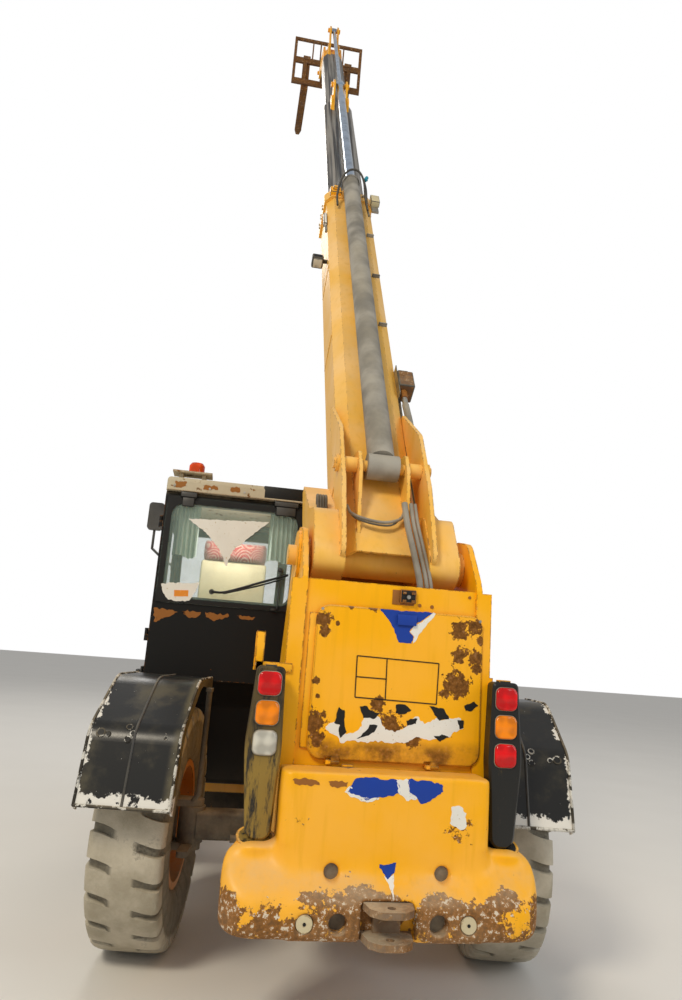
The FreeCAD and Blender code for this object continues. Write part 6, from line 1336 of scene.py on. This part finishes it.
        marks = Shape()
        casting = bpy.data.objects["counterweight_casting"].data
        skin = BVHTree.FromPolygons([vertex.co for vertex in casting.vertices],
                                    [tuple(polygon.vertices) for polygon in casting.polygons])
        for outline, look in (
                ([(-0.095, 1.026), (-0.065, 1.077), (-0.035, 1.089), (0.049, 1.089), (0.095, 1.087), (0.127, 1.083),
                  (0.144, 1.058), (0.142, 1.029), (0.100, 1.016), (0.054, 1.005), (-0.006, 0.995), (-0.068, 1.018)],
                 "blue film"),
                ([(0.181, 1.089), (0.267, 1.089), (0.338, 1.074), (0.347, 1.045), (0.302, 1.015), (0.271, 0.992),
                  (0.244, 0.988), (0.223, 1.019), (0.188, 1.031)], "blue film"),
                ([(0.126, 1.086), (0.181, 1.088), (0.192, 1.032), (0.227, 1.012), (0.209, 1.004), (0.178, 1.000),
                  (0.142, 1.027)], "white film"),
                ([(0.390, 0.976), (0.429, 0.992), (0.458, 0.957), (0.467, 0.901), (0.433, 0.883), (0.388, 0.912)],
                 "white film"),
                ([(-0.110, 1.024), (-0.085, 1.050), (-0.068, 1.018), (-0.006, 0.995), (0.054, 1.002), (0.0, 0.984),
                  (-0.06, 1.000)], "white film"),
                ([(-0.345, 1.066), (-0.300, 1.072), (-0.240, 1.066), (-0.222, 1.052), (-0.270, 1.044), (-0.335, 1.048)],
                 "rust patch"),
                ([(-0.184, 1.064), (-0.130, 1.070), (-0.092, 1.064), (-0.100, 1.044), (-0.150, 1.040), (-0.180, 1.050)],
                 "rust patch"),
                ([(0.070, 0.728), (0.142, 0.741), (0.136, 0.702), (0.104, 0.676), (0.086, 0.700)], "blue film"),
                ([(0.090, 0.690), (0.104, 0.678), (0.134, 0.698), (0.128, 0.650), (0.120, 0.612), (0.108, 0.650)], "white film")):
            self.laid(marks, skin, torn(outline, 0.008, 0.008), look)
        for x, z in ((-0.259, 0.519), (0.453, 0.525)):
            marks.bar(at(x, -1.1605, z), at(x, -1.146, z), 0.0345, "cream", sides=28, end_radius=0.0365)
            marks.bar(at(x, -1.1625, z), at(x, -1.150, z), 0.007, "black film", sides=16)
        # Dark iron discs inside the counterweight's four holes: painted shade at the bottoms of the holes.
        for x, z, radius in ((-0.116, 0.519, 0.041), (0.323, 0.520, 0.041), (-0.146, 0.692, 0.034),
                             (0.359, 0.696, 0.034)):
            rear = -1.100 if z < 0.6 else -1.040
            marks.bar(at(x, rear, z), at(x, rear + 0.004, z), radius * 1.05, "iron", sides=24)
        marks.finish("counterweight_marks", "chassis")
        return {"FINISHED"}


class TELEHANDLER_OT_cab_rear(bpy.types.Operator):
    """Adds the rear window's border, hinges, films, wiper, curtains and cushion"""
    bl_idname = "telehandler.cab_rear"
    bl_label = "Cab rear"

    def execute(self, context):
        shape = Shape()
        film = TELEHANDLER_OT_rear_panel.film
        glass = 0.3268
        x0, x1, z0, z1 = -1.163, -0.257, 1.870, 2.560
        shape.ring(on_plane(soft_square(x0, x1, z0, z1, 0.004), glass + 0.004),
                   on_plane(soft_square(x0 + 0.034, x1 - 0.036, z0 + 0.030, z1 - 0.040, 0.085), glass + 0.004),
                   (0, -0.005, 0), "black film")
        for low, high in ((-1.083, -0.975), (-0.464, -0.300)):
            shape.block(at(low, 0.306, 2.560), at(high, 0.332, 2.598), "plastic", 0.005)
            shape.block(at(low + 0.015, 0.312, 2.500), at(high - 0.015, 0.328, 2.562), "plastic", 0.004)
        for outline in ([(-1.167, 1.826), (-1.060, 1.826), (-1.015, 1.812), (-1.045, 1.788), (-1.095, 1.772),
                         (-1.150, 1.742)], [(-0.985, 1.826), (-0.860, 1.824), (-0.880, 1.794), (-0.940, 1.782),
                                            (-0.975, 1.806)], [(-0.840, 1.824), (-0.690, 1.820), (-0.720, 1.790),
                                                               (-0.790, 1.778), (-0.830, 1.796)],
                        [(-0.640, 1.822), (-0.520, 1.820), (-0.540, 1.800), (-0.610, 1.804)]):
            film(self, shape, outline, 0.336, "rust patch", 0.0012, 0.012)
        for outline in ([(-1.128, 2.655), (-1.060, 2.662), (-1.052, 2.628), (-1.118, 2.618)],
                        [(-0.948, 2.652), (-0.852, 2.656), (-0.846, 2.630), (-0.936, 2.622)],
                        [(-0.770, 2.660), (-0.706, 2.662), (-0.700, 2.630), (-0.762, 2.628)]):
            film(self, shape, outline, 0.306, "rust patch", 0.0012, 0.010)
        film(self, shape, [(-1.017, 2.420), (-0.487, 2.452), (-0.605, 2.341), (-0.704, 2.242), (-0.742, 2.128),
                           (-0.790, 2.234), (-0.888, 2.335)], glass, "white film", 0.0012, 0.006)
        film(self, shape, [(-1.139, 1.984), (-1.062, 1.995), (-0.989, 1.998), (-0.899, 2.010), (-0.914, 1.957),
                           (-0.948, 1.890), (-1.006, 1.880), (-1.081, 1.887), (-1.122, 1.932)], glass, "white film",
             0.0012, 0.008)
        film(self, shape, [(-1.052, 1.949), (-0.962, 1.955), (-0.960, 1.916), (-1.048, 1.909)], glass - 0.0014,
             "orange film", 0.0008, 0.001)
        # wiper with its motor and blade
        shape.bar(at(-0.814, 0.300, 1.957), at(-0.814, 0.330, 1.957), 0.017, "plastic")
        shape.tube([at(-0.814, 0.303, 1.957), at(-0.723, 0.300, 1.963), at(-0.52, 0.302, 2.038),
                    at(-0.331, 0.306, 2.108)], 0.0080, "black film", sides=8)
        shape.tube([at(-0.740, 0.296, 1.950), at(-0.52, 0.298, 2.020), at(-0.36, 0.302, 2.080)], 0.0055, "black film",
                   sides=8)
        shape.block(at(-0.425, 0.306, 1.866), at(-0.391, 0.330, 1.884), "plastic", 0.004)
        shape.block(at(-0.400, 0.300, 2.124), at(-0.372, 0.330, 2.150), "plastic", 0.004)
        shape.bar(at(-0.386, 0.308, 1.884), at(-0.386, 0.308, 2.130), 0.0045, "plastic", sides=8)
        shape.block(at(-0.545, 0.3055, 2.602), at(-0.2475, 0.330, 2.694), "black film", 0.010)
        for x in (-1.13, -0.90, -0.67):
            shape.bar(at(x, 0.300, 2.630), at(x, 0.309, 2.630), 0.008, "zinc", sides=6)
        shape.finish("cab_rear_fittings", "chassis")
        self.curtain("curtain_left", -1.103, -0.945, 2.18, 2.55, 5)
        self.curtain("curtain_right", -0.475, -0.290, 2.20, 2.55, 6)
        rail = Shape()
        rail.bar(at(-1.120, 0.425, 2.553), at(-0.280, 0.425, 2.553), 0.006, "zinc", sides=10)
        for x in (-1.118, -0.282):
            rail.bar(at(x, 0.380, 2.553), at(x, 0.430, 2.553), 0.010, "zinc", sides=10)
        rail.finish("curtain_rail", "chassis")
        back = Shape()
        back.block(at(-0.925, 0.935, 1.868), at(-0.445, 1.015, 2.235), "cream", 0.020)
        back.finish("seat_back_top", "chassis")
        self.cushion()
        return {"FINISHED"}

    def curtain(self, name, x0, x1, z0, z1, folds):
        """A gathered curtain that hangs from the rail."""
        mesh = bmesh.new()
        across, down = 72, 22
        rows = []
        for row in range(down + 1):
            drop = row / down
            line = []
            for step in range(across + 1):
                along = step / across
                wave = math.sin(along * folds * math.tau + 0.5 * math.sin(drop * 2.1))
                depth = wave * (0.010 + 0.012 * drop) + noise.noise(Vector((along * 5, drop * 3, x0 * 9))) * 0.006
                x = x0 + (x1 - x0) * (along + 0.05 * drop * math.sin(along * math.pi))
                hem = 0.010 * math.sin(along * 7.0) * drop
                line.append(mesh.verts.new(at(x, 0.425 + depth, z1 + (z0 - z1) * drop + hem)))
            rows.append(line)
        for upper, lower in zip(rows, rows[1:]):
            for step in range(across):
                mesh.faces.new((upper[step], lower[step], lower[step + 1], upper[step + 1]))
        bmesh.ops.recalc_face_normals(mesh, faces=mesh.faces)
        data = bpy.data.meshes.new(name)
        mesh.to_mesh(data)
        mesh.free()
        data.materials.append(LOOKS["curtain"])
        cloth = place_mesh(data, name, "chassis", smooth=80.0)

    def cushion(self):
        """A plump cushion on top of the seat's back."""
        mesh = bmesh.new()
        bmesh.ops.create_cube(mesh, size=2.0)
        bmesh.ops.subdivide_edges(mesh, edges=mesh.edges, cuts=14, use_grid_fill=True)
        for vertex in mesh.verts:
            u, v, w = vertex.co.x, vertex.co.z, vertex.co.y
            swell = (1 - abs(u) ** 3.2) * (1 - abs(v) ** 3.2)
            deep = 0.020 + 0.062 * max(0.0, swell) ** 0.6
            pinch = 1 - 0.07 * (1 - abs(u)) * abs(v) ** 6
            crease = noise.noise(Vector((u * 3.1, v * 2.7, w))) * 0.006
            vertex.co = at(-0.683 + u * 0.230 * (1 - 0.05 * abs(v) ** 4), 0.975 + w * deep + crease,
                           2.307 + v * 0.074 * pinch)
        bmesh.ops.recalc_face_normals(mesh, faces=mesh.faces)
        data = bpy.data.meshes.new("cushion")
        mesh.to_mesh(data)
        mesh.free()
        data.materials.append(LOOKS["cushion"])
        place_mesh(data, "cushion", "chassis", smooth=60.0)


class TELEHANDLER_OT_boom_fittings(bpy.types.Operator):
    """Adds the boom's hoses, valve block, work lamp, sensors, pins and weld beads"""
    bl_idname = "telehandler.boom_fittings"
    bl_label = "Boom fittings"

    def execute(self, context):
        shape = Shape()
        # hose loop and fittings round the ram's gland
        shape.tube([on_boom(x, s, n) for x, s, n in (
            (-0.135, 4.45, 0.185), (-0.142, 4.60, 0.24), (-0.105, 4.78, 0.33), (-0.03, 4.88, 0.385), (0.06, 4.88, 0.385),
            (0.118, 4.78, 0.33), (0.140, 4.62, 0.24), (0.160, 4.40, 0.20))], 0.011, "hose")
        shape.tube([on_boom(x, s, n) for x, s, n in (
            (0.120, 4.84, 0.33), (0.150, 4.72, 0.27), (0.160, 4.50, 0.20), (0.170, 4.30, 0.185))], 0.009, "hose")
        shape.bar(on_boom(0.128, 4.80, 0.335), on_boom(0.150, 4.86, 0.345), 0.018, "cyan film", sides=12)
        shape.bar(on_boom(0.150, 4.845, 0.325), on_boom(0.146, 4.90, 0.325), 0.013, "cyan film", sides=12)
        # cream sensor block with its plate
        self.on_tube(shape, (0.205, 4.60, 0.165), (0.295, 4.76, 0.225), "cream", 0.006)
        self.on_tube(shape, (0.215, 4.48, 0.150), (0.285, 4.64, 0.172), "zinc", 0.002)
        # saddle at the left end and the white fitting on the left side
        self.on_tube(shape, (-0.200, 4.74, 0.150), (-0.085, 4.87, 0.205), "yellow", 0.006)
        self.on_tube(shape, (-0.170, 4.78, 0.205), (-0.120, 4.83, 0.235), "yellow", 0.004)
        self.on_tube(shape, (-0.262, 4.18, 0.055), (-0.2255, 4.42, 0.105), "white film", 0.008)
        self.on_tube(shape, (-0.246, 4.08, 0.050), (-0.2260, 4.20, 0.080), "zinc", 0.003)
        # work lamp on a bracket on the left
        self.on_tube(shape, (-0.270, 3.560, -0.015), (-0.2250, 3.590, 0.015), "plastic", 0.003)
        self.on_tube(shape, (-0.365, 3.520, -0.055), (-0.262, 3.600, 0.055), "black film", 0.014)
        self.on_tube(shape, (-0.356, 3.512, -0.044), (-0.271, 3.524, 0.044), "clear", 0.004)
        # valve block with hoses down to the foot on the right
        self.on_tube(shape, (0.228, 1.545, 0.000), (0.345, 1.725, 0.150), "rusty", 0.010)
        self.on_tube(shape, (0.245, 1.720, 0.040), (0.320, 1.775, 0.120), "iron", 0.006)
        self.on_tube(shape, (0.2255, 1.46, 0.040), (0.232, 1.80, 0.140), "zinc", 0.002)
        shape.bar(on_boom(0.272, 1.470, 0.085), on_boom(0.272, 1.560, 0.085), 0.026, "rust patch", sides=12)
        shape.bar(on_boom(0.272, 1.380, 0.085), on_boom(0.272, 1.480, 0.085), 0.020, "zinc", sides=12)
        shape.tube([on_boom(x, s, n) for x, s, n in (
            (0.272, 1.40, 0.085), (0.276, 1.15, 0.10), (0.268, 0.90, 0.105), (0.276, 0.72, 0.10))], 0.024, "grey hose")
        shape.bar(on_boom(0.276, 0.74, 0.10), on_boom(0.280, 0.60, 0.09), 0.036, "grey hose", sides=6)
        shape.tube([on_boom(x, s, n) for x, s, n in (
            (0.245, 1.56, 0.040), (0.246, 1.25, 0.030), (0.250, 0.98, 0.020), (0.262, 0.62, 0.0), (0.278, 0.35, -0.02))],
            0.014, "hose")
        # clips over the two pipes
        for s in (2.3, 3.1, 3.9):
            self.on_tube(shape, (0.130, s, 0.148), (0.196, s + 0.018, 0.178), "grey hose", 0.003)
        # weld beads along the collar and the cheeks
        for s in (0.62, 2.20, 3.35):
            shape.tube([on_boom(x, s, n) for x, n in ((-0.226, -0.262), (-0.2265, 0.0), (-0.2265, 0.075))], 0.003,
                       "boom", sides=6)
        for x in (-0.236, 0.236):
            for s, n in ((4.76, -0.10), (4.84, -0.10), (4.76, 0.0), (4.84, 0.0), (4.76, -0.2), (4.84, -0.2)):
                reach = 0.258 if x > 0 else -0.258
                shape.bar(on_boom(x, s, n), on_boom(reach, s, n), 0.013, "zinc", sides=6)
        for x in (-0.14, 0.0, 0.14):
            shape.bar(on_boom(x, 4.80, 0.150), on_boom(x, 4.80, 0.184), 0.013, "zinc", sides=6)
        shape.finish("boom_fittings", "boom_outer")
        self.foot_hoses()
        return {"FINISHED"}

    def on_tube(self, shape, low, high, look, soft=0.0):
        """A block lined up with the boom, between two corners in its own directions."""
        made = bmesh.ops.create_cube(shape.mesh, size=1.0)["verts"]
        shape.mark({face for vertex in made for face in vertex.link_faces}, look)
        turn = Matrix((Vector((1, 0, 0)), BOOM_AXIS, BOOM_UP)).transposed()
        middle = [(a + b) / 2 for a, b in zip(low, high)]
        for vertex in made:
            span = Vector([vertex.co[axis] * (high[axis] - low[axis]) for axis in range(3)])
            vertex.co = on_boom(*middle) + turn @ span
        if soft:
            edges = list({edge for vertex in made for edge in vertex.link_edges})
            bmesh.ops.bevel(shape.mesh, geom=edges, offset=soft, segments=2, affect="EDGES", profile=0.5)

    def foot_hoses(self):
        """Pipes that bend between the tower and the boom's foot, and hoses on the foot."""
        pipes = Shape()
        for offset, radius in ((0.0, 0.017), (0.036, 0.011), (0.060, 0.009)):
            pipes.tube([at(x + offset, y, z) for x, y, z in (
                (0.196, -0.640, 2.46), (0.205, -0.690, 2.34), (0.222, -0.745, 2.22), (0.245, -0.765, 2.12),
                (0.262, -0.790, 2.02), (0.268, -0.800, 1.95))], radius, "grey hose")
        crossing = pipes.finish("foot_pipes", None)
        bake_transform(crossing)
        shape = Shape()
        shape.tube([on_boom(x, s, n) for x, s, n in (
            (-0.200, 0.250, 0.175), (-0.180, 0.175, 0.190), (-0.100, 0.130, 0.200), (0.000, 0.120, 0.200),
            (0.090, 0.160, 0.195), (0.125, 0.235, 0.180))], 0.0085, "grey hose")
        shape.tube([on_boom(x, s, n) for x, s, n in (
            (-0.195, 0.235, 0.170), (-0.160, 0.150, 0.185), (-0.060, 0.105, 0.195), (0.040, 0.115, 0.190),
            (0.110, 0.200, 0.180))], 0.0060, "hose")
        # coiled hoses beside the left cheek
        for turn in range(4):
            x = -0.292 - 0.016 * turn
            shape.tube([on_boom(x, 0.30 - 0.012 * turn, 0.02), on_boom(x - 0.004, 0.40, 0.060), on_boom(x, 0.46, 0.02),
                        on_boom(x + 0.004, 0.39, -0.030), on_boom(x, 0.28, -0.04), on_boom(x, 0.14, -0.03)], 0.009,
                       "hose")
        shape.finish("foot_hoses", "boom_outer")


class TELEHANDLER_OT_side_fittings(bpy.types.Operator):
    """Adds the cab door's handle, the step's treads and the hood's latches"""
    bl_idname = "telehandler.side_fittings"
    bl_label = "Side fittings"

    def execute(self, context):
        door = Shape()
        door.block(at(-1.2225, 0.560, 1.395), at(-1.2120, 0.700, 1.455), "plastic", 0.004)
        door.tube([at(-1.222, 0.575, 1.425), at(-1.246, 0.590, 1.425), at(-1.246, 0.670, 1.425),
                   at(-1.222, 0.685, 1.425)], 0.008, "black film", sides=8, steps=4)
        door.finish("cab_door_handle", "cab_door")
        hood = Shape()
        for y in (1.10, 1.78):
            hood.block(at(1.129, y - 0.035, 1.055), at(1.136, y + 0.035, 1.095), "plastic", 0.003)
            hood.bar(at(1.134, y, 1.075), at(1.142, y, 1.075), 0.010, "zinc", sides=12)
        hood.finish("engine_hood_latches", "engine_hood")
        step = Shape()
        for y in (1.17, 1.30, 1.43, 1.56):
            step.block(at(-1.152, y, 0.600), at(-1.1495, y + 0.07, 0.640), "zinc", 0.001)
        step.finish("step_treads", "chassis")
        return {"FINISHED"}


class TELEHANDLER_PT_panel(bpy.types.Panel):
    """Buttons for every piece of the telehandler"""
    bl_label = "Telehandler"
    bl_idname = "TELEHANDLER_PT_panel"
    bl_space_type = "VIEW_3D"
    bl_region_type = "UI"
    bl_category = "Telehandler"

    def draw(self, context):
        for operator in OPERATORS:
            self.layout.operator(operator.bl_idname)
        for group in (context.scene.telehandler_finish, context.scene.telehandler_tyres,
                      context.scene.telehandler_camera):
            for name in group.bl_rna.properties.keys():
                if name not in ("rna_type", "name"):
                    self.layout.prop(group, name)


SETTINGS = {"telehandler_finish": FinishSettings, "telehandler_tyres": TyreSettings,
            "telehandler_camera": CameraSettings}
OPERATORS = [TELEHANDLER_OT_stage, TELEHANDLER_OT_dress_frame, TELEHANDLER_OT_tyres, TELEHANDLER_OT_mudguards,
             TELEHANDLER_OT_wheel_nuts, TELEHANDLER_OT_counterweight, TELEHANDLER_OT_rear_lamps,
             TELEHANDLER_OT_rear_panel, TELEHANDLER_OT_cab_rear, TELEHANDLER_OT_boom_fittings,
             TELEHANDLER_OT_side_fittings]


def register():
    """Registers the settings, the operators and the panel."""
    for name, group in SETTINGS.items():
        bpy.utils.register_class(group)
        setattr(bpy.types.Scene, name, PointerProperty(type=group))
    for operator in OPERATORS:
        bpy.utils.register_class(operator)
    bpy.utils.register_class(TELEHANDLER_PT_panel)


def unregister():
    """Takes everything out again."""
    bpy.utils.unregister_class(TELEHANDLER_PT_panel)
    for operator in reversed(OPERATORS):
        bpy.utils.unregister_class(operator)
    for name, group in SETTINGS.items():
        delattr(bpy.types.Scene, name)
        bpy.utils.unregister_class(group)


def main():
    """Registers the add-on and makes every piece."""
    register()
    for operator in OPERATORS:
        made = getattr(bpy.ops.telehandler, operator.bl_idname.split(".")[1])()
        if made != {"FINISHED"}:
            raise RuntimeError(f"{operator.bl_idname} did not finish")


if __name__ == "__main__":
    main()
